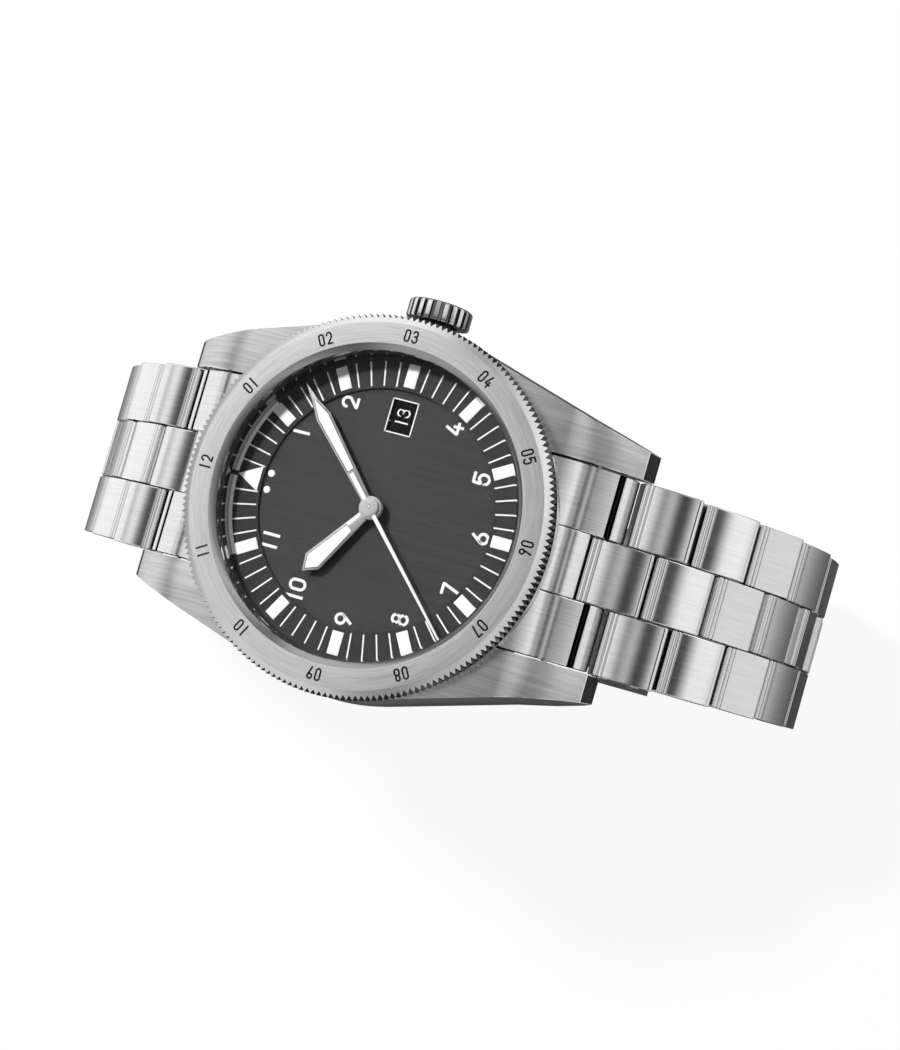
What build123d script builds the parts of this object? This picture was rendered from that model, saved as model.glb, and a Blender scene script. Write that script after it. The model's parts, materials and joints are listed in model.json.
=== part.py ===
from build123d import *
from math import acos, atan2, cos, degrees, hypot, radians, sin, sqrt
import os

# Pilot's watch with a knurled turning bezel on a three-row steel bracelet.
# It stands closed on its folding clasp. X points to 3 o'clock and the crown, Y to
# 12 o'clock and Z up out of the dial. The origin is on the dial's axis, on the flat
# underside of the clasp. Lengths are millimetres, and angles are degrees.
# A height is measured up from the face of the dial's hour ring, unless it says otherwise.

os.makedirs("parts", exist_ok=True)

# Case
case_radius = 20.6
case_edge = 0.25
case_top = 1.0
case_bottom = -5.3
case_waist = 1.2
case_wall = 5.0
case_bore = case_radius - case_wall
neck_inset = 2.7
neck_radius = case_radius - neck_inset
neck_top = 3.1
neck_wall = 1.05
dial_seat_radius = neck_radius - neck_wall
dial_seat = -0.6
lug_gap_half = 10.6
lug_outer_half = 13.65
lug_overhang = 6.45
lug_reach = case_radius + lug_overhang
lug_tip_setback = 0.85
lug_top_reach = lug_reach - lug_tip_setback
lug_shoulder_inset = 1.6
lug_shoulder_reach = case_radius - lug_shoulder_inset
lug_shoulder = 0.8
lug_bend_setout = 2.7
lug_bend_reach = case_radius + lug_bend_setout
lug_bend = -1.35
lug_tip_top = -4.7
lug_tip_low = -6.4
lug_foot = -6.95
lug_foot_setback = 0.85
lug_foot_reach = lug_reach - lug_foot_setback
lug_heel_inset = 1.0
lug_heel_reach = case_radius - lug_heel_inset
spring_bar_setout = 0.9
spring_bar_reach = case_radius + spring_bar_setout
spring_bar_height = -3.4
spring_bar_radius = 0.55
spring_bar_tip_radius = 0.35
spring_bar_tip_length = 1.2

# Case back and seals
back_inset = 2.2
back_radius = case_radius - back_inset
back_bottom = -6.8
back_edge = 0.7
back_neck_play = 0.1
back_neck_outer = case_bore - back_neck_play
back_neck_wall = 0.8
back_neck_inner = back_neck_outer - back_neck_wall
back_neck_top = -4.5
back_floor = -5.5
back_notches = 6
back_notch_width = 3.0
back_notch_depth = 1.1
back_notch_height = 0.8
seal_inset = 0.45
seal_inner = case_bore + seal_inset
seal_width = 0.9
seal_outer = seal_inner + seal_width
seal_depth = 0.45
crystal_seal_wall = 0.4

# Crystal and inner ring
inner_ring_wall = 0.42
crystal_radius = dial_seat_radius - inner_ring_wall
crystal_bottom = 2.15
crystal_edge_top = 3.6
crystal_crown = 4.9

# Turning bezel
bezel_top = 4.05
bezel_foot = 1.05
bezel_mouth_play = 0.07
bezel_mouth_radius = crystal_radius + bezel_mouth_play
bezel_mouth_height = 3.2
bezel_mouth_top = 3.55
bezel_mouth_slope = 0.75
bezel_face_inner = bezel_mouth_radius + bezel_mouth_slope
bezel_inset = 0.12
bezel_tip_radius = case_radius - bezel_inset
bezel_knurl_depth = 0.48
bezel_root_radius = bezel_tip_radius - bezel_knurl_depth
bezel_shoulder_inset = 0.53
bezel_shoulder_radius = bezel_tip_radius - bezel_shoulder_inset
bezel_face_inset = 0.98
bezel_face_outer = bezel_tip_radius - bezel_face_inset
bezel_shoulder_height = 3.65
bezel_knurl_foot = 1.7
bezel_notches = 190
running_gap = 0.05
spring_ring_setout = 0.6
spring_ring_inner = neck_radius + spring_ring_setout
spring_ring_width = 0.6
spring_ring_outer = spring_ring_inner + spring_ring_width
spring_ring_height = 0.25

# Crown, tube and stem, along X
crown_axis_height = -2.9
crown_radius = 3.5
crown_root_radius = 3.2
crown_gap = 0.6
crown_inner_face = case_radius + crown_gap
crown_length = 2.2
crown_outer_face = crown_inner_face + crown_length
crown_edge = 0.35
crown_flutes = 30
crown_cup_radius = 2.25
crown_cup_depth = 1.3
tube_radius = 1.9
tube_depth = 3.0
tube_inner_end = case_radius - tube_depth
tube_proud = 1.5
tube_outer_end = case_radius + tube_proud
stem_radius = 0.45
stem_groove_radius = 0.27
stem_inner_end = 7.3
stem_groove_place = 9.2
stem_groove_width = 0.5
stem_socket = 0.7
lever_thickness = 0.3
lever_half_width = 1.1
lever_top = -2.05
lever_foot = -3.7

# Dial and date
dial_play = 0.15
dial_radius = dial_seat_radius - dial_play
dial_ring_width = 3.65
dial_ring_inner = dial_radius - dial_ring_width
dial_step = 0.35
marker_height = 0.12
marker_inset = 0.7
marker_outer = dial_radius - marker_inset
marker_length = 2.5
marker_inner = marker_outer - marker_length
marker_width = 1.3
triangle_inset = 0.75
triangle_apex = dial_radius - triangle_inset
triangle_length = 2.6
triangle_base = triangle_apex - triangle_length
triangle_half = 1.37
dot_inset = 0.65
dot_place_radius = dial_ring_inner - dot_inset
dot_offset = 0.9
dot_radius = 0.39
window_inset = 1.05
window_outer = dial_ring_inner - window_inset
window_length = 3.5
window_inner = window_outer - window_length
window_height = 2.75
date_outer_margin = 0.5
date_outer = window_outer + date_outer_margin
date_inner_margin = 0.3
date_inner = window_inner - date_inner_margin
date_top = -0.7
date_thickness = 0.2

# Hands
hour_hand_height = 0.7
minute_hand_height = 1.15
second_hand_height = 1.6
hand_thickness = 0.2
second_hand_thickness = 0.15
hour_hand_length = 10.0
hour_hand_wide_at = 8.5
hour_hand_wide = 2.3
hour_hand_narrow = 1.05
minute_hand_length = 15.7
minute_hand_wide_at = 11.4
minute_hand_wide = 1.7
minute_hand_narrow = 0.95
minute_hand_neck_at = 13.4
minute_hand_neck = 0.45
second_hand_length = 16.2
second_hand_tail = 4.2
second_hand_wide = 0.5
second_hand_tip = 0.25
hand_hub_radius = 1.25
second_hub_radius = 1.0
hour_hand_angle = 303.8
minute_hand_angle = 45.7
second_hand_angle = 225.4

# Movement
movement_radius = 12.8
spacer_play = 0.1
spacer_inner = movement_radius + spacer_play
spacer_outer = case_bore - spacer_play
spacer_top = -0.65
spacer_bottom = -4.3
plate_top = -0.95
plate_bottom = -1.9
plate_pocket_radius = 4.7
plate_pocket_floor = -1.5
plate_rim_inner = 11.9
bridge_top = -3.8
bridge_bottom = -4.1
cock_bottom = -4.35
second_arbor_radius = 0.25
centre_arbor_bore = 0.3
centre_arbor_radius = 0.45
hour_pipe_bore = 0.5
hour_pipe_radius = 0.8
pivot_radius = 0.2
arbor_radius = 0.3
motion_module = 0.12
motion_hour_module = 0.096
barrel_module = 0.12
centre_module = 0.1
fourth_module = 0.1
wheel_thickness = 0.2
thin_wheel_thickness = 0.15
cannon_low = -1.45
hour_wheel_low = -1.12
centre_wheel_low = -2.25
centre_pinion_low = -2.85
centre_pinion_height = 0.5
barrel_low = -3.35
barrel_rim_low = -2.8
barrel_top = -2.4
barrel_drum_radius = 4.6
barrel_arbor_radius = 0.9
third_wheel_low = -3.15
fourth_wheel_low = -3.6
escape_wheel_low = -2.75
escape_radius = 2.2
escape_rim = 1.55
pinion_overlap = 0.05
fork_clearance = 0.1
fork_stone = 0.35
fork_arm_width = 0.35
balance_radius = 4.0
balance_rim = 0.5
balance_low = -3.35
balance_height = 0.3
balance_spoke = 0.5
roller_radius = 0.55
balance_x = 5.2
balance_y = 5.7
fork_x = 4.9
fork_y = 3.0
fork_staff_low = -2.9
rotor_radius = 12.3
rotor_rim = 2.2
rotor_top = -4.5
rotor_web_low = -4.75
rotor_low = -5.15
rotor_hub_radius = 2.4
rotor_post_radius = 1.1
rotor_post_low = -5.25
ratchet_radius = 3.2
ratchet_module = 0.16
ratchet_low = -4.35
ratchet_height = 0.2
screw_radius = 0.75
screw_height = 0.25
screw_slot = 0.2
screw_place_radius = 11.9

# Bracelet
link_pitch = 7.2
link_thickness = 3.0
link_end_overhang = 1.5
link_end_gap = 0.6
link_top_bevel = 0.35
link_foot_bevel = 0.6
row_half = 3.45
row_gap = 0.1
bracelet_half = 10.5
taper_per_link = 0.17
pin_radius = 0.5
pin_play = 0.03
first_pin_setout = 3.4
first_pin_reach = case_radius + first_pin_setout
first_pin_height = -5.8
end_link_half = 10.45
end_link_gap = 0.1
end_link_top = 0.45
end_link_crest_setout = 0.3
end_link_crest_reach = case_radius + end_link_crest_setout
end_link_crest = 0.15
end_link_nose_setout = 1.1
end_link_nose_reach = first_pin_reach + end_link_nose_setout
end_link_nose = -4.3
end_link_tip_setout = 1.75
end_link_tip = first_pin_reach + end_link_tip_setout
end_link_foot = -7.2
end_link_foot_length = 2.7
end_link_foot_reach = end_link_nose_reach - end_link_foot_length
end_link_inset = 3.2
end_link_start = case_radius - end_link_inset
end_link_recess = 2.15
end_link_middle_setback = 1.1

# Clasp, with heights from its underside
clasp_pin_level = 2.7
clasp_half = 8.95
clasp_floor = 1.0
clasp_wall = 1.0
clasp_wall_height = 4.5
clasp_edge = 0.4
clasp_end_gap = 2.4
leaf_half = 5.8
leaf_thickness = 0.8
middle_leaf_level = 1.35
inner_leaf_level = 3.4
leaf_pin_radius = 0.4
leaf_barrel_radius = 0.9
front_hinge_level = 2.25
back_hinge_level = 2.8
front_hinge_setback = 4.1
back_hinge_setback = 6.2
leaf_barrel_clear = 1.3
leaf_knuckle_half = 3.3
tongue_radius = 1.3
pusher_setback = 7.7
pusher_length = 7.0
pusher_width = 2.2
pusher_level = 2.75
pusher_proud = 1.55
pusher_inner = 7.2
pusher_flange = 0.6
pusher_play = 0.08

overrun = 1.0

# Angles below the horizontal of the bracelet's units, from the case to the clasp
slopes_at_6 = [29.5, 41.5, 55.5, 71, 87.5, 100, 115, 136, 160]
slopes_at_12 = [30, 43, 56, 69, 82, 97, 115, 137, 161, 176, 180]

# Wheel train: teeth, and the directions in which the wheels lie
barrel_teeth = 84
centre_pinion_teeth = 12
centre_teeth = 80
third_pinion_teeth = 10
third_teeth = 75
fourth_pinion_teeth = 10
fourth_teeth = 80
escape_pinion_teeth = 8
escape_teeth = 15
cannon_teeth = 10
minute_teeth = 30
minute_pinion_teeth = 10
hour_teeth = 40
barrel_direction = 135
third_direction = 280
escape_direction = 355
motion_direction = 215

# Tooth outline, as shares of the module and of one tooth's step
tooth_tip_share = 0.75
tooth_root_share = 1.15
tooth_foot_share = 0.2
tooth_head_share = 0.08


def polar(radius, angle):
    """Point at a radius and an angle from 3 o'clock, counted towards 12."""
    return (radius * cos(radians(angle)), radius * sin(radians(angle)))


def clock(radius, angle):
    """Point at a radius and an angle from 12 o'clock, counted towards 3."""
    return polar(radius, 90 - angle)


def chain(side, slopes):
    """Pin places (y, height) down one half of the bracelet, counted from the dial."""
    places = [(side * first_pin_reach, first_pin_height)]
    for slope in slopes:
        y, height = places[-1]
        y += side * link_pitch * cos(radians(slope))
        height -= link_pitch * sin(radians(slope))
        places.append((y, height))
    return places


pins_at_6 = chain(-1, slopes_at_6)
pins_at_12 = chain(1, slopes_at_12)
dial_level = clasp_pin_level - pins_at_6[-1][1]


def level(height):
    """Height above the clasp's underside of a height above the dial."""
    return dial_level + height


def turned(*outline, mode=Mode.ADD):
    """Turn an outline of (radius, height) points about the dial's axis."""
    points = [(radius, level(height)) for radius, height in outline]
    with BuildSketch(Plane.XZ) as profile:
        with BuildLine():
            Polyline(points, close=True)
        make_face()
    revolve(profile.sketch, Axis.Z, mode=mode)


def washer(outer, inner, low, high, centre=(0, 0), mode=Mode.ADD):
    """Flat ring between two heights, or a disc where the inner radius is zero."""
    with BuildSketch(Plane.XY.offset(level(low))) as flat:
        with Locations(centre):
            Circle(outer)
            if inner:
                Circle(inner, mode=Mode.SUBTRACT)
    extrude(flat.sketch, amount=high - low, mode=mode)


def plate(outline, low, high, mode=Mode.ADD):
    """Flat piece with a cornered outline between two heights."""
    with BuildSketch(Plane.XY.offset(level(low))) as flat:
        with BuildLine():
            Polyline(outline, close=True)
        make_face()
    extrude(flat.sketch, amount=high - low, mode=mode)


def across(outline, half, start=0, mode=Mode.ADD):
    """Side outline of (y, level) points carried across X on both sides of the dial's axis."""
    for hand in (-1, 1):
        with BuildSketch(Plane.YZ.offset(hand * start)) as side:
            with BuildLine():
                Polyline(outline, close=True)
            make_face()
        extrude(side.sketch, amount=hand * (half - start), mode=mode)


def rod(radius, start, end, y, height, mode=Mode.ADD):
    """Round bar along X at a height above the clasp's underside."""
    with BuildSketch(Plane.YZ.offset(start)) as end_face:
        with Locations((y, height)):
            Circle(radius)
    extrude(end_face.sketch, amount=end - start, mode=mode)


def toothed(teeth, module, low, high, phase, centre=(0, 0)):
    """Toothed wheel with one tooth in the direction phase."""
    step = 360 / teeth
    tip = module * (teeth / 2 + tooth_tip_share)
    root = module * (teeth / 2 - tooth_root_share)
    corners = (
        (root, -tooth_foot_share),
        (tip, -tooth_head_share),
        (tip, tooth_head_share),
        (root, tooth_foot_share),
    )
    outline = []
    for tooth in range(teeth):
        for radius, share in corners:
            x, y = polar(radius, phase + (tooth + share) * step)
            outline.append((centre[0] + x, centre[1] + y))
    plate(outline, low, high)


def meshing_phase(direction, teeth):
    """Phase of a wheel that takes a tooth coming from the opposite of a direction."""
    return direction + 180 + 180 / teeth


def hand_outline(angle, stations):
    """Outline of a hand from its (length, half width) stations along one edge."""
    left = [(length, half) for length, half in stations]
    right = [(length, -half) for length, half in reversed(stations) if half]
    turned_points = []
    for length, half in left + right:
        along = clock(length, angle)
        beside = clock(half, angle + 90)
        turned_points.append((along[0] + beside[0], along[1] + beside[1]))
    return turned_points


# Case, back and seals


def lug_outline(x_hand, y_hand):
    """Plan of one lug, whose flank runs on to the case as a tangent."""
    reach = hypot(lug_outer_half, lug_top_reach)
    turn = degrees(acos(case_radius / reach))
    towards = degrees(atan2(lug_top_reach, lug_outer_half))
    tangent = polar(case_radius, towards - turn)
    inside = lug_gap_half / 2
    return [
        (x_hand * lug_gap_half, y_hand * inside),
        (x_hand * lug_gap_half, y_hand * lug_reach),
        (x_hand * lug_outer_half, y_hand * lug_reach),
        (x_hand * lug_outer_half, y_hand * lug_top_reach),
        (x_hand * tangent[0], y_hand * tangent[1]),
        (x_hand * case_bore, y_hand * inside),
    ]


def lug_sides(y_hand):
    """Side view of the lugs on one side, curved down on top."""
    with BuildLine() as side:
        ThreePointArc(
            (y_hand * lug_shoulder_reach, level(lug_shoulder)),
            (y_hand * lug_bend_reach, level(lug_bend)),
            (y_hand * lug_top_reach, level(lug_tip_top)),
        )
        Polyline(
            (y_hand * lug_top_reach, level(lug_tip_top)),
            (y_hand * lug_reach, level(lug_tip_low)),
            (y_hand * lug_foot_reach, level(lug_foot)),
            (y_hand * lug_bend_reach, level(lug_foot)),
            (y_hand * lug_heel_reach, level(case_bottom)),
            (0, level(case_bottom)),
            (0, level(lug_shoulder)),
            (y_hand * lug_shoulder_reach, level(lug_shoulder)),
        )
    return side.line


with BuildPart() as case_middle:
    for x_hand in (-1, 1):
        for y_hand in (-1, 1):
            plate(lug_outline(x_hand, y_hand), lug_foot, case_top)
    with BuildSketch(Plane.YZ) as lug_profile:
        for y_hand in (-1, 1):
            make_face(lug_sides(y_hand))
    extrude(lug_profile.sketch, amount=case_radius, both=True, mode=Mode.INTERSECT)
    turned(
        (case_bore, case_bottom),
        (case_radius - case_waist, case_bottom),
        (case_radius - case_edge, case_bottom / 2),
        (case_radius, 0),
        (case_radius, case_top - case_edge),
        (case_radius - case_edge, case_top),
        (neck_radius, case_top),
        (neck_radius, neck_top),
        (dial_seat_radius, neck_top),
        (dial_seat_radius, dial_seat),
        (case_bore, dial_seat),
    )
    washer(case_bore, 0, lug_foot - overrun, dial_seat, mode=Mode.SUBTRACT)
    washer(dial_seat_radius, 0, dial_seat, neck_top + overrun, mode=Mode.SUBTRACT)
    washer(back_radius + end_link_gap, 0, lug_foot - overrun, case_bottom, mode=Mode.SUBTRACT)
    rod(tube_radius, case_bore - overrun, case_radius + overrun, 0, level(crown_axis_height), Mode.SUBTRACT)
    for y_hand in (-1, 1):
        rod(
            spring_bar_tip_radius,
            -lug_gap_half - spring_bar_tip_length,
            lug_gap_half + spring_bar_tip_length,
            y_hand * spring_bar_reach,
            level(spring_bar_height),
            Mode.SUBTRACT,
        )
case_middle.part.label = "case_middle"
export_step(case_middle.part, "parts/case_middle.step")

with BuildPart() as case_back:
    turned(
        (0, back_bottom),
        (back_radius - back_edge, back_bottom),
        (back_radius, back_bottom + back_edge),
        (back_radius, case_bottom),
        (back_neck_outer, case_bottom),
        (back_neck_outer, back_neck_top),
        (back_neck_inner, back_neck_top),
        (back_neck_inner, back_floor),
        (0, back_floor),
    )
    washer(seal_outer, seal_inner, case_bottom - seal_depth, case_bottom, mode=Mode.SUBTRACT)
    with BuildSketch(Plane.XY.offset(level(back_bottom))):
        with PolarLocations(back_radius, back_notches):
            Rectangle(2 * back_notch_depth, back_notch_width)
    extrude(amount=back_notch_height, mode=Mode.SUBTRACT)
case_back.part.label = "case_back"
export_step(case_back.part, "parts/case_back.step")

with BuildPart() as gaskets:
    washer(seal_outer, seal_inner, case_bottom - seal_depth, case_bottom)
    washer(crystal_radius + crystal_seal_wall, crystal_radius, crystal_bottom, neck_top)
gaskets.part.label = "gaskets"
export_step(gaskets.part, "parts/gaskets.step")

with BuildPart() as crystal:
    with BuildSketch(Plane.XZ):
        with BuildLine():
            Polyline(
                (0, level(crystal_crown)),
                (0, level(crystal_bottom)),
                (crystal_radius, level(crystal_bottom)),
                (crystal_radius, level(crystal_edge_top)),
            )
            # The dome is part of a sphere, so it is level where it meets the axis.
            dome_rise = crystal_crown - crystal_edge_top
            sphere = (crystal_radius**2 + dome_rise**2) / (2 * dome_rise)
            half_way = crystal_radius / 2
            sag = sphere - sqrt(sphere**2 - half_way**2)
            ThreePointArc(
                (crystal_radius, level(crystal_edge_top)),
                (half_way, level(crystal_crown - sag)),
                (0, level(crystal_crown)),
            )
        make_face()
    revolve(axis=Axis.Z)
crystal.part.label = "crystal"
export_step(crystal.part, "parts/crystal.step")

with BuildPart() as rehaut_ring:
    washer(
        dial_seat_radius - running_gap,
        dial_seat_radius - inner_ring_wall,
        0,
        crystal_bottom,
    )
rehaut_ring.part.label = "rehaut_ring"
export_step(rehaut_ring.part, "parts/rehaut_ring.step")

# Turning bezel

with BuildPart() as bezel:
    turned(
        (neck_radius + running_gap, bezel_foot),
        (bezel_root_radius, bezel_foot),
        (bezel_root_radius, bezel_knurl_foot),
        (bezel_shoulder_radius, bezel_knurl_foot),
        (bezel_shoulder_radius, bezel_shoulder_height),
        (bezel_face_outer, bezel_top),
        (bezel_face_inner, bezel_top),
        (bezel_mouth_radius, bezel_mouth_top),
        (bezel_mouth_radius, bezel_mouth_height),
        (neck_radius + running_gap, bezel_mouth_height),
    )
    knurl = []
    for notch in range(bezel_notches):
        step = 360 / bezel_notches
        knurl.append(polar(bezel_tip_radius, notch * step))
        knurl.append(polar(bezel_root_radius, (notch + 1 / 2) * step))
    with BuildSketch(Plane.XY.offset(level(bezel_knurl_foot))) as knurl_ring:
        with BuildLine():
            Polyline(knurl, close=True)
        make_face()
        Circle(bezel_shoulder_radius, mode=Mode.SUBTRACT)
    extrude(knurl_ring.sketch, amount=bezel_shoulder_height - bezel_knurl_foot)
    washer(
        spring_ring_outer + running_gap,
        spring_ring_inner - running_gap,
        bezel_foot - overrun,
        bezel_foot + spring_ring_height,
        mode=Mode.SUBTRACT,
    )
bezel.part.label = "bezel"
export_step(bezel.part, "parts/bezel.step")

with BuildPart() as bezel_spring_ring:
    washer(spring_ring_outer, spring_ring_inner, case_top, case_top + spring_ring_height)
bezel_spring_ring.part.label = "bezel_spring_ring"
export_step(bezel_spring_ring.part, "parts/bezel_spring_ring.step")

# Crown, tube, stem and setting lever

crown_level = level(crown_axis_height)

with BuildPart() as crown:
    flutes = []
    for flute in range(crown_flutes):
        step = 360 / crown_flutes
        for radius, share in ((crown_radius, 0), (crown_radius, 1 / 2), (crown_root_radius, 3 / 4)):
            y, z = polar(radius, (flute + share) * step)
            flutes.append((y, z + crown_level))
    with BuildSketch(Plane.YZ.offset(crown_inner_face)):
        with BuildLine():
            Polyline(flutes, close=True)
        make_face()
    extrude(amount=crown_outer_face - crown_inner_face)
    with BuildSketch(Plane.XY) as crown_side:
        with BuildLine():
            Polyline(
                (crown_inner_face, 0),
                (crown_inner_face, crown_radius - crown_edge),
                (crown_inner_face + crown_edge, crown_radius + crown_edge),
                (crown_outer_face - 2 * crown_edge, crown_radius + crown_edge),
                (crown_outer_face, crown_root_radius - crown_edge),
                (crown_outer_face, 0),
                close=True,
            )
        make_face()
    crown_axis = Axis((0, 0, crown_level), (1, 0, 0))
    side_at_axis = crown_side.sketch.moved(Location((0, 0, crown_level)))
    revolve(side_at_axis, crown_axis, mode=Mode.INTERSECT)
    rod(
        crown_cup_radius,
        crown_inner_face - overrun,
        crown_inner_face + crown_cup_depth,
        0,
        crown_level,
        Mode.SUBTRACT,
    )
    rod(
        stem_radius + pin_play,
        crown_inner_face,
        crown_inner_face + crown_cup_depth + stem_socket,
        0,
        crown_level,
        Mode.SUBTRACT,
    )
crown.part.label = "crown"
export_step(crown.part, "parts/crown.step")

with BuildPart() as crown_tube:
    rod(tube_radius, tube_inner_end, tube_outer_end, 0, crown_level)
    rod(
        stem_radius + running_gap,
        tube_inner_end - overrun,
        tube_outer_end + overrun,
        0,
        crown_level,
        Mode.SUBTRACT,
    )
crown_tube.part.label = "crown_tube"
export_step(crown_tube.part, "parts/crown_tube.step")

with BuildPart() as winding_stem:
    stem_outer_end = crown_inner_face + crown_cup_depth + stem_socket
    rod(stem_radius, stem_inner_end, stem_outer_end, 0, crown_level)
    groove_start = stem_groove_place - stem_groove_width / 2
    groove_end = stem_groove_place + stem_groove_width / 2
    rod(stem_radius + overrun, groove_start, groove_end, 0, crown_level, Mode.SUBTRACT)
    rod(stem_groove_radius, groove_start, groove_end, 0, crown_level)
winding_stem.part.label = "winding_stem"
export_step(winding_stem.part, "parts/winding_stem.step")

with BuildPart() as setting_lever:
    with BuildSketch(Plane.YZ.offset(stem_groove_place - lever_thickness / 2)) as lever_face:
        with BuildLine():
            Polyline(
                (-lever_half_width, level(lever_foot)),
                (lever_half_width, level(lever_foot)),
                (lever_half_width, level(lever_top)),
                (-lever_half_width, level(lever_top)),
                close=True,
            )
        make_face()
        with Locations((0, crown_level)):
            Circle(stem_groove_radius + running_gap, mode=Mode.SUBTRACT)
        with BuildLine():
            slot_half = stem_groove_radius + running_gap
            Polyline(
                (-slot_half, level(lever_foot) - overrun),
                (slot_half, level(lever_foot) - overrun),
                (slot_half, crown_level),
                (-slot_half, crown_level),
                close=True,
            )
        make_face(mode=Mode.SUBTRACT)
    extrude(lever_face.sketch, amount=lever_thickness)
setting_lever.part.label = "setting_lever"
export_step(setting_lever.part, "parts/setting_lever.step")

# Dial, markers and date

with BuildPart() as dial:
    turned(
        (hour_pipe_radius + running_gap, dial_seat),
        (dial_radius, dial_seat),
        (dial_radius, 0),
        (dial_ring_inner, 0),
        (dial_ring_inner, -dial_step),
        (hour_pipe_radius + running_gap, -dial_step),
    )
    window_middle = (window_inner + window_outer) / 2
    with BuildSketch(Plane.XY.offset(level(dial_seat))):
        with Locations((window_middle, 0)):
            Rectangle(window_outer - window_inner, window_height)
    extrude(amount=-dial_seat, mode=Mode.SUBTRACT)
dial.part.label = "dial"
export_step(dial.part, "parts/dial.step")

with BuildPart() as hour_markers:
    with BuildSketch(Plane.XY) as marker_plan:
        marker_middle = (marker_inner + marker_outer) / 2
        with PolarLocations(marker_middle, 11, start_angle=60, angular_range=-300):
            Rectangle(marker_outer - marker_inner, marker_width)
        with BuildLine():
            Polyline(
                (0, triangle_apex),
                (triangle_half, triangle_base),
                (-triangle_half, triangle_base),
                close=True,
            )
        make_face()
    extrude(marker_plan.sketch.moved(Location((0, 0, dial_level))), amount=marker_height)
    for x_hand in (-1, 1):
        dot_place = (x_hand * dot_offset, dot_place_radius)
        washer(dot_radius, 0, -dial_step, marker_height - dial_step, centre=dot_place)
hour_markers.part.label = "hour_markers"
export_step(hour_markers.part, "parts/hour_markers.step")

with BuildPart() as date_disc:
    washer(date_outer, date_inner, date_top - date_thickness, date_top)
date_disc.part.label = "date_disc"
export_step(date_disc.part, "parts/date_disc.step")

# Hands

with BuildPart() as hour_hand:
    hour_stations = [
        (hand_hub_radius / 2, hour_hand_narrow / 2),
        (hour_hand_wide_at, hour_hand_wide / 2),
        (hour_hand_length, 0),
    ]
    hour_hand_top = hour_hand_height + hand_thickness
    plate(hand_outline(hour_hand_angle, hour_stations), hour_hand_height, hour_hand_top)
    washer(hand_hub_radius, 0, hour_hand_height, hour_hand_top)
    washer(hour_pipe_radius + running_gap / 2, 0, hour_hand_height, hour_hand_top, mode=Mode.SUBTRACT)
hour_hand.part.label = "hour_hand"
export_step(hour_hand.part, "parts/hour_hand.step")

with BuildPart() as minute_hand:
    minute_stations = [
        (hand_hub_radius / 2, minute_hand_narrow / 2),
        (minute_hand_wide_at, minute_hand_wide / 2),
        (minute_hand_neck_at, minute_hand_neck / 2),
        (minute_hand_length, 0),
    ]
    minute_hand_top = minute_hand_height + hand_thickness
    plate(hand_outline(minute_hand_angle, minute_stations), minute_hand_height, minute_hand_top)
    washer(hand_hub_radius, 0, minute_hand_height, minute_hand_top)
    washer(
        centre_arbor_radius + running_gap / 2,
        0,
        minute_hand_height,
        minute_hand_top,
        mode=Mode.SUBTRACT,
    )
minute_hand.part.label = "minute_hand"
export_step(minute_hand.part, "parts/minute_hand.step")

with BuildPart() as second_hand:
    second_stations = [
        (-second_hand_tail, second_hand_wide / 2),
        (0, second_hand_wide / 2),
        (second_hand_length, second_hand_tip / 2),
    ]
    second_hand_top = second_hand_height + second_hand_thickness
    plate(hand_outline(second_hand_angle, second_stations), second_hand_height, second_hand_top)
    washer(second_hub_radius, 0, second_hand_height, second_hand_top)
    washer(
        second_arbor_radius + running_gap / 2,
        0,
        second_hand_height,
        second_hand_top,
        mode=Mode.SUBTRACT,
    )
second_hand.part.label = "second_hand"
export_step(second_hand.part, "parts/second_hand.step")

# Movement plates

barrel_distance = barrel_module * (barrel_teeth + centre_pinion_teeth) / 2
third_distance = centre_module * (centre_teeth + third_pinion_teeth) / 2
third_module = 2 * third_distance / (third_teeth + fourth_pinion_teeth)
escape_distance = fourth_module * (fourth_teeth + escape_pinion_teeth) / 2
motion_distance = motion_module * (cannon_teeth + minute_teeth) / 2
barrel_place = polar(barrel_distance, barrel_direction)
third_place = polar(third_distance, third_direction)
escape_place = polar(escape_distance, escape_direction)
motion_place = polar(motion_distance, motion_direction)
balance_place = (balance_x, balance_y)
fork_place = (fork_x, fork_y)

with BuildPart() as movement_ring:
    washer(spacer_outer, spacer_inner, spacer_bottom, spacer_top)
    rod(stem_radius + spring_bar_radius, 0, case_radius, 0, crown_level, Mode.SUBTRACT)
movement_ring.part.label = "movement_ring"
export_step(movement_ring.part, "parts/movement_ring.step")

with BuildPart() as main_plate:
    washer(movement_radius, centre_arbor_radius + running_gap, plate_bottom, plate_top)
    washer(movement_radius, plate_rim_inner, bridge_top, plate_bottom)
    washer(plate_pocket_radius, 0, plate_pocket_floor, plate_top, mode=Mode.SUBTRACT)
    for place in (third_place, escape_place, fork_place, balance_place, barrel_place):
        washer(pivot_radius + running_gap, 0, plate_bottom, plate_top, centre=place, mode=Mode.SUBTRACT)
    rod(stem_radius + running_gap, 0, case_radius, 0, crown_level, Mode.SUBTRACT)
    washer(pivot_radius, 0, plate_pocket_floor, hour_wheel_low + wheel_thickness, centre=motion_place)
main_plate.part.label = "main_plate"
export_step(main_plate.part, "parts/main_plate.step")

bridge_opening = balance_radius + 2 * balance_rim

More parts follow.
